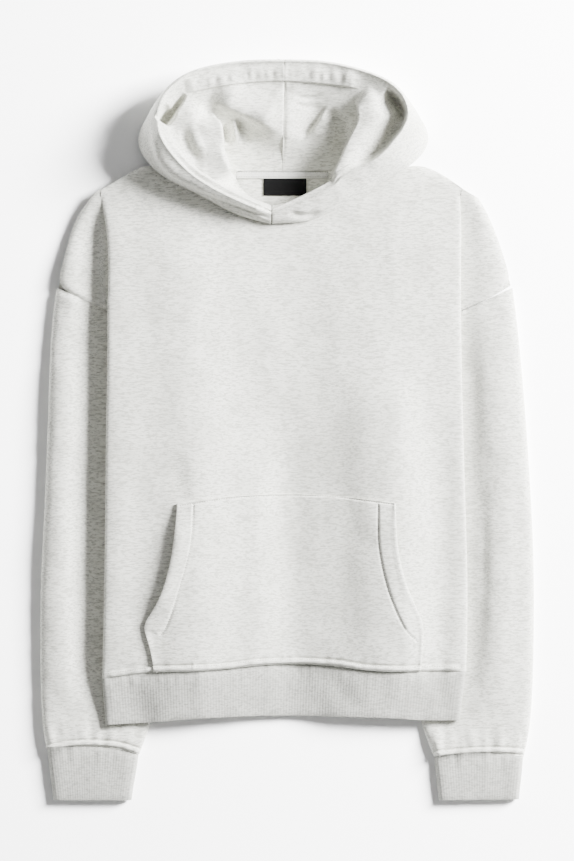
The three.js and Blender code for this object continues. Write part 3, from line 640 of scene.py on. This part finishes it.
@dataclass
class ClothPiece:
    """One cut piece of cloth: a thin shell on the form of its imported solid.

    The cut and its area are in metres, and the other sizes in millimetres. Cloth that has more of
    the same piece over it, past the hidden gap, stays as it is. Troughs don't go below the lowest
    height, and folds come to their full depth over the height that the cloth settles over.
    """

    node: str
    slot: Slot
    finish: Melange | Plain
    cut: tuple[float, float]
    area: float | None = None
    rests_on: tuple[str, ...] = ()
    levels: int = 3
    ribbed: bool = False
    folds: Folds = ()
    leans: tuple[Lean, ...] = ()
    fine_along: tuple[Path, ...] = ()
    hidden_gap: float = 4.0
    lowest: float = 0.0
    settles_over: float = 7.0
    thickness: float = 2.0
    shape: bpy.types.Object | None = field(default=None, init=False)

    def joined(self, influence: float) -> bmesh.types.BMesh:
        """Merged copy of the node with its triangles joined into quads.

        Args:
            influence: How much the joining keeps to an even grid.

        Returns:
            The joined form.
        """
        form = bmesh.new()
        form.from_mesh(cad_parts[self.node].data)
        bmesh.ops.remove_doubles(form, verts=form.verts[:], dist=WELD)
        bmesh.ops.join_triangles(
            form,
            faces=form.faces[:],
            angle_face_threshold=math.pi,
            angle_shape_threshold=math.pi,
            topology_influence=influence,
        )
        return form

    def quads(self) -> bmesh.types.BMesh:
        """Joins the node's triangles back into the grid that they came from.

        Returns:
            The form that has the fewest vertices with other than four edges.
        """
        forms = [self.joined(influence) for influence in JOIN_INFLUENCES]
        forms.sort(key=lambda form: sum(len(vertex.link_edges) != 4 for vertex in form.verts))
        for spare in forms[1:]:
            spare.free()
        return forms[0]

    def mark_rims(self, form: bmesh.types.BMesh) -> None:
        """Keeps the cut edges of the cloth sharp while the form is rounded.

        Args:
            form: Form whose sharp edges are creased.
        """
        crease = form.edges.layers.float.new("crease_edge")
        for edge in form.edges:
            if edge.calc_face_angle(0) > RIM_ANGLE:
                edge[crease] = 1.0

    def rounded(self, form: bmesh.types.BMesh) -> bmesh.types.BMesh:
        """Subdivides the form, smoothly, or along its flat facets where it is ribbed.

        Args:
            form: Coarse form, which is freed.

        Returns:
            The fine form.
        """
        holder = placed(f"{self.node}_form", form)
        subdivision = holder.modifiers.new("rounding", "SUBSURF")
        subdivision.subdivision_type = "SIMPLE" if self.ribbed else "CATMULL_CLARK"
        subdivision.levels = self.levels
        subdivision.render_levels = self.levels
        evaluated = holder.evaluated_get(bpy.context.evaluated_depsgraph_get())
        fine = bmesh.new()
        fine.from_mesh(evaluated.to_mesh())
        evaluated.to_mesh_clear()
        mesh = holder.data
        bpy.data.objects.remove(holder)
        bpy.data.meshes.remove(mesh)
        return fine

    def soften_rims(self, form: bmesh.types.BMesh) -> None:
        """Rounds the cut edges, so that two pieces touch in a soft groove at each seam.

        Args:
            form: Fine form of the piece.
        """
        sharp = [edge for edge in form.edges if edge.calc_face_angle(0) > EDGE_ANGLE]
        form.normal_update()
        outward = {}
        for edge in sharp:
            for vertex in edge.verts:
                outward[vertex] = Vector((vertex.normal.x, vertex.normal.y, 0)).normalized()
        for vertex, way in outward.items():
            vertex.co += way * SEAM_REACH
        bmesh.ops.bevel(
            form,
            geom=sharp,
            offset=RIM_ROUND,
            segments=2,
            profile=0.5,
            affect="EDGES",
            material=-1,
        )

    def refine(self, form: bmesh.types.BMesh) -> None:
        """Adds finer faces along the seams and creases that need them.

        Args:
            form: Fine form of the piece.
        """
        for path in self.fine_along:
            line = rounded_path(path)
            for reach in FINE_REACHES:
                faces = [face for face in form.faces if face.normal.z > UPWARD]
                centres = np.array([face.calc_center_median()[:2] for face in faces]) / MM
                signed, _ = along_path(centres, line)
                near = {e for face, off in zip(faces, signed) if abs(off) < reach for e in face.edges}
                bmesh.ops.subdivide_edges(form, edges=list(near), cuts=1, use_grid_fill=True)

    def soften_ribs(self, form: bmesh.types.BMesh) -> None:
        """Evens the ribs out across their run, as soft yarn lies.

        Args:
            form: Fine form of the piece.
        """
        for _ in range(RIB_SOFTENING):
            bmesh.ops.smooth_vert(
                form, verts=form.verts[:], factor=0.5, use_axis_x=True, use_axis_y=False, use_axis_z=True
            )

    def exposure(self, form: bmesh.types.BMesh) -> np.ndarray:
        """Share by which each vertex belongs to the topmost layer of the piece.

        Args:
            form: Fine form of the piece.

        Returns:
            One share for each vertex, evened out between neighbours.
        """
        tree = BVHTree.FromBMesh(form)
        gap = Vector((0, 0, self.hidden_gap * MM))
        up = Vector((0, 0, 1))
        above = [tree.ray_cast(vertex.co + gap, up)[0] for vertex in form.verts]
        shown = np.array([1.0 if point is None else 0.0 for point in above])
        ends = np.array([[vertex.index for vertex in edge.verts] for edge in form.edges])
        counts = np.bincount(ends.ravel(), minlength=len(shown))
        for _ in range(BORDER_ROUNDS):
            total = np.bincount(ends[:, 0], shown[ends[:, 1]], len(shown))
            total += np.bincount(ends[:, 1], shown[ends[:, 0]], len(shown))
            shown = 0.5 * shown + 0.5 * total / np.maximum(counts, 1)
        return shown

    def lay(self, form: bmesh.types.BMesh) -> None:
        """Lays the folds into the topmost layer, with less depth the nearer it is to what lies under it.

        Args:
            form: Fine form of the piece.
        """
        if not self.folds:
            return
        form.verts.index_update()
        form.normal_update()
        places = np.array([vertex.co for vertex in form.verts]) / MM
        under = np.array([1 - vertex.normal.z for vertex in form.verts]) * self.thickness / 2
        upper = places + np.outer(under, (0, 0, 1))
        lift = sum(fold.lift(upper) for fold in self.folds)
        lift = lift * self.exposure(form) * smoothstep(upper[:, 2] / self.settles_over)
        room = np.maximum(places[:, 2] - self.lowest, LEAST_ROOM)
        fallen = np.where(places[:, 2] > self.lowest, room * (np.exp(np.minimum(lift, 0) / room) - 1), 0.0)
        places[:, 2] += np.where(lift > 0, lift, fallen)
        places += sum((lean.shifts(places) for lean in self.leans), np.zeros_like(places))
        for vertex, place in zip(form.verts, places):
            vertex.co = place * MM

    def build(self) -> bpy.types.Object:
        """Builds, shapes and dresses the piece.

        Returns:
            The finished object, which stands for its CAD node.
        """
        form = self.quads()
        self.mark_rims(form)
        fine = self.rounded(form)
        self.soften_rims(fine)
        self.refine(fine)
        if self.ribbed:
            self.soften_ribs(fine)
        self.lay(fine)
        self.shape = placed(f"{self.node}_cloth", fine)
        self.shape.data.shade_smooth()
        self.dress()
        return self.shape

    def dress(self) -> None:
        """Gives the piece its finish and says what it stands for."""
        self.shape.data.materials.append(finished(self.finish))
        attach(self.shape, "root")
        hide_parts(self.node)
        log.info("%s: %d faces", self.shape.name, len(self.shape.data.polygons))


@dataclass
class StitchRow:
    """Row of stitches along a line seen from above, sunk a little into the cloth under it."""

    path: Path
    highest: float = 60.0

    def sew(self, form: bmesh.types.BMesh, tree: BVHTree) -> None:
        """Adds the row's stitches.

        Args:
            form: Mesh that gets the stitches.
            tree: Cloth surface that the row lies on.
        """
        line = rounded_path(self.path, STITCH_STEP)
        steps = np.hypot(*np.diff(line, axis=0).T)
        places = np.concatenate([[0.0], np.cumsum(steps)])
        half = STITCH_LENGTH / 2
        for middle in np.arange(STITCH_PITCH / 2, places[-1], STITCH_PITCH):
            ends = []
            for at in (middle - half, middle + half):
                x = np.interp(at, places, line[:, 0])
                y = np.interp(at, places, line[:, 1])
                point = tree.ray_cast(Vector((x, y, self.highest)) * MM, Vector((0, 0, -1)))[0]
                if point is not None:
                    ends.append(point)
            if len(ends) == 2:
                self.add_stitch(form, *ends)

    def add_stitch(self, form: bmesh.types.BMesh, start: Vector, end: Vector) -> None:
        """Adds one stitch, unless its ends lie too far apart for the thread.

        Args:
            form: Mesh that gets the stitch.
            start: Where it comes out of the cloth.
            end: Where it goes in again.
        """
        run = end - start
        if run.length > 2 * STITCH_LENGTH * MM:
            return
        turned = run.to_track_quat("X", "Z").to_matrix().to_4x4()
        size = Matrix.Diagonal((run.length / 2, THREAD_RADIUS * MM, THREAD_RADIUS * MM, 1))
        middle = (start + end) / 2 + Vector((0, 0, STITCH_RISE * MM))
        bmesh.ops.create_icosphere(
            form, subdivisions=1, radius=1, matrix=Matrix.Translation(middle) @ turned @ size
        )


@dataclass
class Stitching:
    """Stitches of one sub-assembly, sewn on the cloth that they hold."""

    name: str
    slot: Slot
    rows: tuple[StitchRow, ...]

    def build(self, cloth: list[bpy.types.Object]) -> bpy.types.Object:
        """Sews every row.

        Args:
            cloth: Finished pieces that the rows may lie on.

        Returns:
            The stitches as one object.
        """
        surface = bmesh.new()
        for piece in cloth:
            surface.from_mesh(piece.data)
        tree = BVHTree.FromBMesh(surface)
        sewn = bmesh.new()
        for row in self.rows:
            # Each row is made by itself, because adding to a large form is slow
            single = bmesh.new()
            row.sew(single, tree)
            mesh = bpy.data.meshes.new("row")
            single.to_mesh(mesh)
            single.free()
            sewn.from_mesh(mesh)
            bpy.data.meshes.remove(mesh)
        surface.free()
        stitches = placed(self.name, sewn)
        stitches.data.shade_smooth()
        # The thread's dark colour carries the painted shade of the needle holes
        stitches.data.materials.append(finished(THREAD))
        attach(stitches, "root")
        log.info("%s: %d faces", self.name, len(stitches.data.polygons))
        return stitches


@dataclass
class Studio:
    """Pale floor, soft daylight from the upper right and the overhead camera."""

    floor_size: float = 14.0
    key_direction: tuple[float, float, float] = (0.86, 0.42, 0.47)
    key_distance: float = 4.0
    key_size: float = 1.5
    key_watts: float = 1310.0
    floor_watts: float = 1850.0
    sky: str = "#ffffff"
    sky_strength: float = 0.4

    def build(self) -> None:
        """Makes the floor, the lights and the camera."""
        floor = self.add_floor()
        self.add_light("key", self.key_watts)
        self.light_only(self.add_light("floor_light", self.floor_watts), floor)
        self.add_sky()
        self.add_camera()

    def add_floor(self) -> bpy.types.Object:
        """Lays the floor under the garment.

        Returns:
            The floor.
        """
        form = bmesh.new()
        bmesh.ops.create_grid(form, x_segments=1, y_segments=1, size=self.floor_size / 2)
        floor = placed("floor", form)
        floor.data.materials.append(finished(FLOOR))
        return floor

    def add_light(self, name: str, watts: float) -> bpy.types.Object:
        """Hangs one soft light on the right.

        Args:
            name: Name of the light.
            watts: Its power.

        Returns:
            The light.
        """
        lamp = bpy.data.lights.new(name, "AREA")
        lamp.energy = watts
        lamp.size = self.key_size
        light = bpy.data.objects.new(name, lamp)
        direction = Vector(self.key_direction).normalized()
        light.location = direction * self.key_distance
        light.rotation_mode = "QUATERNION"
        light.rotation_quaternion = direction.to_track_quat("Z", "Y")
        bpy.context.scene.collection.objects.link(light)
        return light

    def light_only(self, light: bpy.types.Object, floor: bpy.types.Object) -> None:
        """Lets a light reach the floor alone, as a studio lights its background.

        Args:
            light: The light.
            floor: What it reaches.
        """
        reached = bpy.data.collections.new("floor_only")
        reached.objects.link(floor)
        light.light_linking.receiver_collection = reached

    def add_sky(self) -> None:
        """Fills the shadows evenly from all round."""
        world = bpy.data.worlds.new("studio")
        world.use_nodes = True
        background = world.node_tree.nodes["Background"]
        background.inputs["Color"].default_value = linear(self.sky)
        background.inputs["Strength"].default_value = self.sky_strength
        bpy.context.scene.world = world

    def add_camera(self) -> None:
        """Sets the camera straight above the garment."""
        lens = bpy.data.cameras.new("camera")
        lens.sensor_width = SENSOR_MM
        lens.lens = SENSOR_MM * (CAMERA_HEIGHT - FOCUS_HEIGHT) / PICTURE_HEIGHT
        lens.clip_end = 2 * CAMERA_HEIGHT
        camera = bpy.data.objects.new("camera", lens)
        camera.location = (*AIM, CAMERA_HEIGHT)
        bpy.context.scene.collection.objects.link(camera)
        bpy.context.scene.camera = camera


# The seam of the hem band, which the front, the pocket and the band share
HEM_SEAM = (
    (-222, -303.4),
    (-165, -295.8),
    (-112, -294.2),
    (-68, -291.4),
    (-38, -287.4),
    (14, -285.9),
    (60, -288.2),
    (95, -293.4),
    (133, -295.2),
    (163, -294.8),
    (214, -295.4),
)


def shifted(path: Path, up: float) -> Path:
    """The same line moved along Y."""
    return tuple((x, y + up) for x, y in path)


def seam_folds(seam: Path, height: float = 2.0) -> Folds:
    """Raised band above a rib's seam, the groove of the seam and the gathers along both.

    Args:
        seam: Line of the seam.
        height: Height of the band in millimetres.

    Returns:
        The folds of the seam.
    """
    return (
        Fold(shifted(seam, 3.6), height, left=2.7, right=2.7, fade=0.02, power=4),
        Fold(seam, -1.6, left=1.4, right=1.8, fade=0.02),
        Fold(shifted(seam, 7.4), -1.5, left=1.7, right=1.4, fade=0.02),
        Puckers(shifted(seam, 5), 1.0, left=8, right=5, length=11),
        Puckers(shifted(seam, -6), 0.8, left=6, right=9, length=8),
    )


@dataclass
class Body:
    """Front and back of the body, with the folds in which the front lies.

    The back lies on the floor, so its creases stand at their full height from the start.
    """

    hem_seam: Path = HEM_SEAM
    pleat: Path = ((-232, 278), (-229, 235), (-227, 190), (-226, 140), (-226, 100))
    armhole_left: Path = ((-282, 174), (-267, 167), (-253, 161), (-236, 152), (-218, 145))
    armhole_right: Path = ((276, 172), (260, 164), (241, 157), (216, 147))
    neck_left: Path = ((-150, 309), (-112, 288), (-84, 276), (-50, 263), (-16, 254))
    back_settles_over: float = 0.01

    def lie(self) -> Folds:
        """Broad folds that run down through the front, the pocket and the hem band.

        Returns:
            The folds.
        """
        return (
            # The broad swell on the left and the ridge along the left edge
            Fold(((-128, 300), (-126, 100), (-122, -100), (-120, -380)), 10, left=52, right=112, fade=0.16),
            Fold(((-214, 270), (-215, 100), (-216, -200), (-216, -365)), 5, left=34, right=30, fade=0.18),
            # Soft ridges and troughs through the pocket
            Fold(((-88, 60), (-86, -80), (-84, -200), (-88, -360)), 2.2, left=34, right=40, fade=0.3),
            Fold(((-32, 30), (-36, -120), (-34, -250), (-26, -360)), 3.4, left=22, right=26, fade=0.3),
            Fold(((-2, 40), (2, -120), (4, -250), (8, -360)), -3.4, left=26, right=24, fade=0.3),
            Fold(((62, 60), (66, -100), (64, -220), (58, -330)), -2.4, left=22, right=34, fade=0.3),
            # The swell on the right and the trough between it and the right edge
            Fold(((126, 120), (134, -40), (140, -180), (136, -360)), 8.5, left=30, right=62, fade=0.25),
            Fold(((188, 40), (190, -120), (188, -240), (184, -360)), -3.2, left=13, right=20, fade=0.25),
            # The uneven lie of the whole cloth
            Waves(1.8, 70, 2.2),
            Waves(0.7, 24, 1.6),
        )

    def back_folds(self) -> Folds:
        """Shallow creases that stand off the surface that the back lies on.

        Returns:
            The creases.
        """
        return (
            Fold(((-70, 230), (-58, 150), (-64, 60)), 1.8, left=16, right=9, fade=0.4),
            Fold(((34, 180), (50, 90), (44, -20)), 1.5, left=9, right=15, fade=0.4),
            Fold(((-96, 10), (-82, -70), (-90, -170)), 1.7, left=12, right=12, fade=0.4),
            Fold(((92, -40), (80, -130), (88, -230)), 1.6, left=10, right=15, fade=0.4),
            Fold(((-20, -120), (-4, -190), (-12, -270)), 1.3, left=12, right=9, fade=0.4),
            Fold(((-60, 262), (0, 250), (64, 264)), 1.2, left=9, right=12, fade=0.4),
        )

    def pieces(self) -> list[ClothPiece]:
        """Cuts the body: its back, and its front with the pleat over the tucked sleeve.

        Returns:
            The back and the front.
        """
        front_only = (
            # The pleat over the tucked sleeve and the edges of the drop shoulders
            Fold(self.pleat, -13, left=3, right=26, fade=0.3),
            Fold(shifted(self.armhole_left, 4), 1.3, left=9, right=3.5, fade=0.05, power=3),
            Fold(shifted(self.armhole_right, 4), 1.0, left=3.5, right=9, fade=0.05, power=3),
            # The dent above the pocket's left corner and the seam beside the hood
            Fold(((-138, -31), (-131, -61), (-121, -86)), -2.2, left=8, right=8, fade=0.35),
            Fold(self.neck_left, 1.2, left=1.6, right=1.6, fade=0.1),
        )
        return [
            ClothPiece(
                "back",
                Slot.FLEECE,
                FLEECE,
                cut=(0.55, 0.63),
                area=0.28,
                levels=2,
                folds=self.back_folds(),
                settles_over=self.back_settles_over,
            ),
            ClothPiece(
                "front",
                Slot.FLEECE,
                FLEECE,
                cut=(0.70, 0.63),
                rests_on=("sleeve_left_cloth", "sleeve_right_cloth"),
                levels=2,
                folds=(*self.lie(), *front_only, *seam_folds(self.hem_seam)),
                fine_along=(shifted(HEM_SEAM, 3),),
            ),
        ]


@dataclass
class Sleeves:
    """Both sleeves and their cuffs."""

    cuff_seams: dict[Side, Path] = field(
        default_factory=lambda: {
            Side.LEFT: ((-296, -393), (-265, -387), (-234, -386), (-204, -389), (-178, -397)),
            Side.RIGHT: ((177, -400), (205, -397), (235, -395), (266, -395), (290, -397)),
        }
    )
    armholes: dict[Side, Path] = field(
        default_factory=lambda: {Side.LEFT: Body.armhole_left, Side.RIGHT: Body.armhole_right}
    )

    def lie(self, side: Side) -> Folds:
        """Rounded back of the sleeve and the trough where the body's edge presses on it.

        Args:
            side: Which sleeve.

        Returns:
            The folds of the sleeve.
        """
        if side is Side.LEFT:
            trough = ((-228, 185), (-231, 20), (-233, -150), (-230, -335))
            return (
                Fold(((-268, 150), (-274, 0), (-275, -200), (-262, -390)), 3.4, left=20, right=20),
                Fold(trough, -11, left=26, right=26, fade=0.12),
                Fold(((-250, 190), (-262, 150), (-268, 100)), 2.0, left=14, right=14, fade=0.4),
            )
        return (
            Fold(((252, 160), (262, 0), (264, -200), (256, -390)), 3.0, left=20, right=20),
            Fold(((222, 140), (225, 0), (226, -150), (224, -340)), -4, left=14, right=26, fade=0.2),
            Fold(((238, -40), (240, -160), (236, -300)), -1.6, left=7, right=7, fade=0.35),
        )

    def pieces(self) -> list[ClothPiece]:
        """Cuts each sleeve and its cuff.

        Returns:
            Two sleeves and two cuffs.
        """
        made = []
        for side in Side:
            seam = self.cuff_seams[side]
            armhole = self.armholes[side]
            made.append(
                ClothPiece(
                    f"sleeve_{side.value}",
                    Slot.FLEECE,
                    FLEECE,
                    cut=(0.31, 0.58),
                    fine_along=(shifted(seam, 4),),
                    folds=(
                        *self.lie(side),
                        *seam_folds(seam, 1.4),
                        Fold(shifted(armhole, -1.5), -2.0, left=2.6, right=2.8, fade=0.03),
                        Puckers(shifted(seam, 16), 2.4, left=18, right=11, length=13),
                        Puckers(armhole, 1.0, left=9, right=9, length=14),
                        Waves(1.8, 55, 1.6),
                        Waves(0.7, 20),
                    ),
                )
            )
            made.append(
                ClothPiece(
                    f"cuff_{side.value}",
                    Slot.RIB_KNIT,
                    RIB,
                    cut=(0.22, 0.064),
                    levels=2,
                    ribbed=True,
                    thickness=2.4,
                    folds=(*seam_folds(seam), Waves(1.0, 28)),
                )
            )
        return made


@dataclass
class Hem:
    """Ribbed hem band."""

    seam: Path = HEM_SEAM

    def pieces(self) -> list[ClothPiece]:
        """Cuts the band, which lies in the same broad folds as the front.

        Returns:
            The band.
        """
        return [
            ClothPiece(
                "hem_band",
                Slot.RIB_KNIT,
                RIB,
                cut=(0.95, 0.063),
                levels=2,
                ribbed=True,
                thickness=2.4,
                folds=(
                    *Body().lie(),
                    *seam_folds(self.seam),
                    Fold(((-190, -300), (-182, -336), (-168, -375)), -3, left=19, right=22, fade=0.3),
                    Waves(0.8, 22),
                ),
            )
        ]

    def stitches(self) -> Stitching:
        """One row along the front, above the seam."""
        return Stitching("hem_stitches", Slot.FLEECE, (StitchRow(shifted(self.seam, 6)),))


@dataclass
class Pocket:
    """Kangaroo pocket with its two hemmed hand openings."""

    top: Path = ((-134, -90), (-109, -86), (-68, -80), (-9, -77), (52, -78), (92, -83), (132, -88))
    left_edge: Path = ((-133, -90), (-135, -143), (-143, -179), (-159, -212), (-175, -238))
    left_hem: Path = ((-124, -88), (-126, -141), (-136, -183), (-152, -222), (-166, -246))
    left_line: Path = ((-114, -89), (-117, -139), (-129, -187), (-145, -236), (-155, -252))
    right_hem: Path = ((121, -87), (123, -143), (136, -197), (154, -240))
    right_line: Path = ((111, -89), (112, -143), (123, -195), (142, -240), (160, -259))
    left_foot: Path = ((-175, -240), (-170, -263), (-163, -294))
    right_edge: Path = ((131, -88), (132, -134), (137, -167), (145, -195), (163, -236), (163, -292))

    def folds(self) -> Folds:
        """Gape of the left opening, the hems and their grooves, and the small creases above the hem seam.

        Returns:
            The folds of the pocket, with the body's broad ones.
        """
        return (
            *Body().lie(),
            # The gaping left edge and the corner below it
            Fold(self.left_edge, 4.5, left=13, right=20, fade=0.3),
            Fold(self.left_foot, 1.5, left=5, right=12, fade=0.3),
            # The side hems, and the grooves of their seams and of the top seam
            Fold(self.left_hem, 0.9, left=9.5, right=12, fade=0.02, power=10),
            Fold(self.right_hem, 0.9, left=14, right=10, fade=0.02, power=10),
            Fold(self.left_line, -1.0, left=1.3, right=1.3, fade=0.02),
            Fold(self.right_line, -1.0, left=1.3, right=1.3, fade=0.02),
            Fold(shifted(self.top, -3), -1.3, left=1.3, right=1.3, fade=0.02),
            # The rim of the right edge
            Fold(self.right_edge, 1.3, left=2.5, right=2.5, fade=0.02, power=3),
            # Small creases above the hem seam
            Fold(((-114, -276), (-114, -298)), 0.9, left=2.0, right=1.6, fade=0.4),
            Fold(((-5, -262), (-4, -284)), 0.9, left=1.8, right=1.8, fade=0.4),
            Fold(((5, -264), (6, -286)), 0.7, left=1.8, right=1.8, fade=0.4),
            Fold(((-60, -240), (-52, -280)), -0.8, left=6, right=6, fade=0.4),
            *seam_folds(HEM_SEAM),
        )

    def pieces(self) -> list[ClothPiece]:
        """Cuts the pocket as one patch.

        Returns:
            The patch.
        """
        return [
            ClothPiece(
                "pocket",
                Slot.FLEECE,
                FLEECE,
                cut=(0.345, 0.22),
                area=0.066,
                rests_on=("front_cloth",),
                levels=2,
                folds=self.folds(),
                fine_along=(self.left_line, self.right_line, shifted(self.top, -3), shifted(HEM_SEAM, 4)),
            )
        ]

    def stitches(self) -> Stitching:
        """Topstitches the top edge and the two side hems.

        Returns:
            The pocket's stitching.
        """
        return Stitching(
            "pocket_stitches",
            Slot.FLEECE,
            (StitchRow(shifted(self.top, -3)), StitchRow(self.left_line), StitchRow(self.right_line)),
        )


@dataclass
class Hood:
    """Two halves of the open hood, each rolled over inwards beside the neck."""

    left_rim: Path = (
        (-3, 446),
        (-70, 441),
        (-118, 429),
        (-151, 412),
        (-162, 390),
        (-160, 368),
        (-145, 344),
        (-128, 323),
        (-106, 304),
        (-76, 288),
        (-39, 272),
        (-16, 261),
    )
    right_rim: Path = (
        (-18, 258),
        (6, 268),
        (30, 282),
        (52, 295),
        (89, 317),
        (111, 332),
        (128, 349),
        (143, 371),
        (147, 393),
        (138, 415),
        (123, 427),
        (89, 440),
        (40, 447),
        (-3, 450),
    )
    band_edge: Path = ((-125, 410), (-88, 418), (-45, 424), (-3, 426), (40, 423), (71, 419), (89, 416))
    centre_seam: Path = ((-3, 426), (-3, 390), (-4, 341), (-6, 317))
    left_outer: Path = (
        (-166, 372),
        (-164, 352),
        (-158, 332),
        (-148, 316),
        (-132, 304),
        (-109, 293),
        (-81, 283),
        (-48, 271),
        (-18, 260),
    )
    left_inner: Path = ((-98, 386), (-92, 374), (-89, 356), (-88, 342), (-83, 328), (-78, 315), (-68, 302))
    right_inner: Path = (
        (82, 408),
        (96, 392),
        (98, 375),
        (89, 356),
        (81, 339),
        (75, 326),
        (69, 312),
        (58, 292),
    )
    right_crest: Path = (
        (100, 416),
        (113, 404),
        (116, 389),
        (112, 373),
        (100, 356),
        (86, 338),
        (74, 316),
        (58, 294),
    )
    right_groove: Path = (
        (119, 414),
        (132, 402),
        (140, 388),
        (139, 372),
        (129, 358),
        (115, 338),
        (99, 324),
        (84, 312),
    )

    def shared_folds(self) -> Folds:
        """Hem band along the face edge, its gathers and the ridge of the centre seam.

        Returns:
            The folds of both halves.
        """
        return (
            Fold(self.band_edge, 3.2, left=16, right=1.5, fade=0.06, power=4),
            Puckers(shifted(self.band_edge, 11), 2.0, left=9, right=8, length=13),
            Puckers(shifted(self.band_edge, 7), 1.4, left=6, right=5, length=7),
            Fold(self.centre_seam, 14, left=20, right=36, fade=0.45),
            Fold(self.centre_seam, -1.2, left=1.6, right=1.6, fade=0.05),
            Puckers(self.centre_seam, 1.4, left=5, right=5, length=12),
        )

    def left_folds(self) -> Folds:
        """Roll of the left half with the two hollows beside it.

        Returns:
            The folds inside the left rim.
        """
        return (
            # The roll
            Roll(self.left_inner, 41, left=6.5, right=18, fade=0.2, power=10),
            Fold(self.left_inner, 3, left=9, right=14, fade=0.25),
            # The hollow between the roll and the middle, with a ridge in it
            Fold(((-77, 374), (-74, 358), (-72, 346)), -9, left=4, right=3, fade=0.3),
            Fold(((-67, 384), (-63, 366), (-61, 348)), 9, left=5, right=4, fade=0.4),
            Fold(((-62, 382), (-55, 362), (-52, 346)), -10, left=10, right=5, fade=0.35),
            # The ridge that runs from the band towards the centre seam
            Fold(((-97, 404), (-65, 391), (-29, 374), (-3, 365)), 15, left=26, right=8, fade=0.3),
            # Creases down both sides of the roll
            Fold(((-84, 352), (-80, 334), (-74, 318), (-64, 304)), -6, left=10, right=3, fade=0.3),
            Fold(((-128, 372), (-124, 353), (-116, 337), (-100, 318)), -6, left=8, right=7, fade=0.35),
            # The dark hollow outside the roll
            Fold(((-152, 373), (-147, 381), (-139, 392)), -90, left=6, right=5, fade=0.5, start=0.06),
            Fold(((-147, 376), (-137, 390), (-123, 409)), -70, left=4, right=2.2, fade=0.6, start=0.06),
            # The soft swell along the back of the roll
            Fold(((-104, 398), (-108, 375), (-106, 350), (-96, 325)), 3, left=12, right=12, fade=0.3),
        )

    def right_folds(self) -> Folds:
        """Roll of the right half, the hollow that it hides and the grooves on both sides.

        Returns:
            The folds inside the right rim.
        """
        return (
            # The roll and its crest
            Roll(self.right_inner, 42, left=20, right=4.5, fade=0.18),
            Fold(self.right_crest, 4, left=13, right=14, fade=0.2),
            # The hollow that the roll hides
            Fold(((38, 393), (57, 381), (68, 366), (66, 344), (59, 326), (47, 305)), -14, left=7, right=7),
            # The crease and the ridge that run from the band towards the neck
            Fold(((47, 396), (35, 377), (25, 364), (17, 352)), -10, left=2.2, right=8, fade=0.35),
            Fold(((54, 400), (42, 379), (34, 364), (26, 352)), 4.5, left=14, right=3.5, fade=0.35),
            # The groove outside the roll, deeper at its upper end
            Fold(self.right_groove, -30, left=3.5, right=13, fade=0.5, start=0.15),
            Fold(self.right_groove[:4], -55, left=4, right=4.5, fade=0.35),
            # Two faint creases under the band
            Fold(((4, 408), (25, 404), (46, 410)), -2.2, left=3, right=3, fade=0.4),
            Fold(((6, 399), (24, 394), (42, 397)), -2.0, left=3, right=3, fade=0.4),
        )

    def left_outside(self) -> Folds:
        """Outer face of the left hem: flat on top, with a steep drop to the neck seam.

        Returns:
            The folds outside the left rim.
        """
        below = tuple((x - 3, y - 5) for x, y in self.left_outer[3:])
        return (
            Fold(self.left_outer, 11, left=15, right=2.5, fade=0.12),
            Fold(below, 1.6, left=1.6, right=1.6, fade=0.1),
        )

    def right_outside(self) -> Folds:
        """Dimple in the outer face of the right hem, above the notch."""
        return (Fold(((0, 266), (20, 262), (44, 267)), -5, left=1.8, right=6, fade=0.35),)

    def pieces(self) -> list[ClothPiece]:
        """Cuts both halves: their inner folds stop at the rim, and their rolls lean over the hollows.

        Returns:
            The left and the right half.
        """
        even = (Waves(1.2, 36), Waves(0.6, 15))
        shared = self.shared_folds()
        folds = {
            Side.LEFT: (Inside(self.left_rim, 3.5, shared + self.left_folds()), *self.left_outside()),
            Side.RIGHT: (Inside(self.right_rim, 3.5, shared + self.right_folds()), *self.right_outside()),
        }
        leans = {
            Side.LEFT: (Lean(self.left_inner, (7.0, 0.0), left=12, right=16),),
            Side.RIGHT: (Lean(self.right_inner, (-9.0, 0.0), left=20, right=12),),
        }
        return [
            ClothPiece(
                f"hood_{side.value}",
                Slot.FLEECE,
                FLEECE,
                cut=(0.25, 0.185),
                folds=(*even, *folds[side]),
                leans=leans[side],
                fine_along=(self.band_edge,),
                lowest=2.6,
            )
            for side in Side
        ]


@dataclass
class Neck:
    """Back neck tape and the bare label."""

    tape_ends: tuple[float, float] = (-63, 51)
    stitch_rows: tuple[float, float] = (314.6, 309.0)

    def pieces(self) -> list[ClothPiece]:
        """Cuts the tape and the label.

        Returns:
            The tape and the label.
        """
        return [
            ClothPiece("neck_tape", Slot.NECK_TAPE, TAPE, cut=(0.114, 0.01), levels=2),
            ClothPiece("neck_label", Slot.LABEL, SATIN, cut=(0.052, 0.0206), levels=2),
        ]

    def stitches(self) -> Stitching:
        """Sews down both edges of the tape.

        Returns:
            The tape's stitching.
        """
        left, right = self.tape_ends
        rows = tuple(StitchRow(((left, y), (right, y))) for y in self.stitch_rows)
        return Stitching("tape_stitches", Slot.NECK_TAPE, rows)


def main() -> None:
    """Builds the garment piece by piece, then its stitching and the studio."""
    logging.basicConfig(level=logging.INFO, format="%(message)s")
    parts = (Body(), Sleeves(), Hem(), Pocket(), Hood(), Neck())
    cloth = [piece.build() for part in parts for piece in part.pieces()]
    for part in (Pocket(), Neck(), Hem()):
        part.stitches().build(cloth)
    Studio().build()


if __name__ == "__main__":
    main()
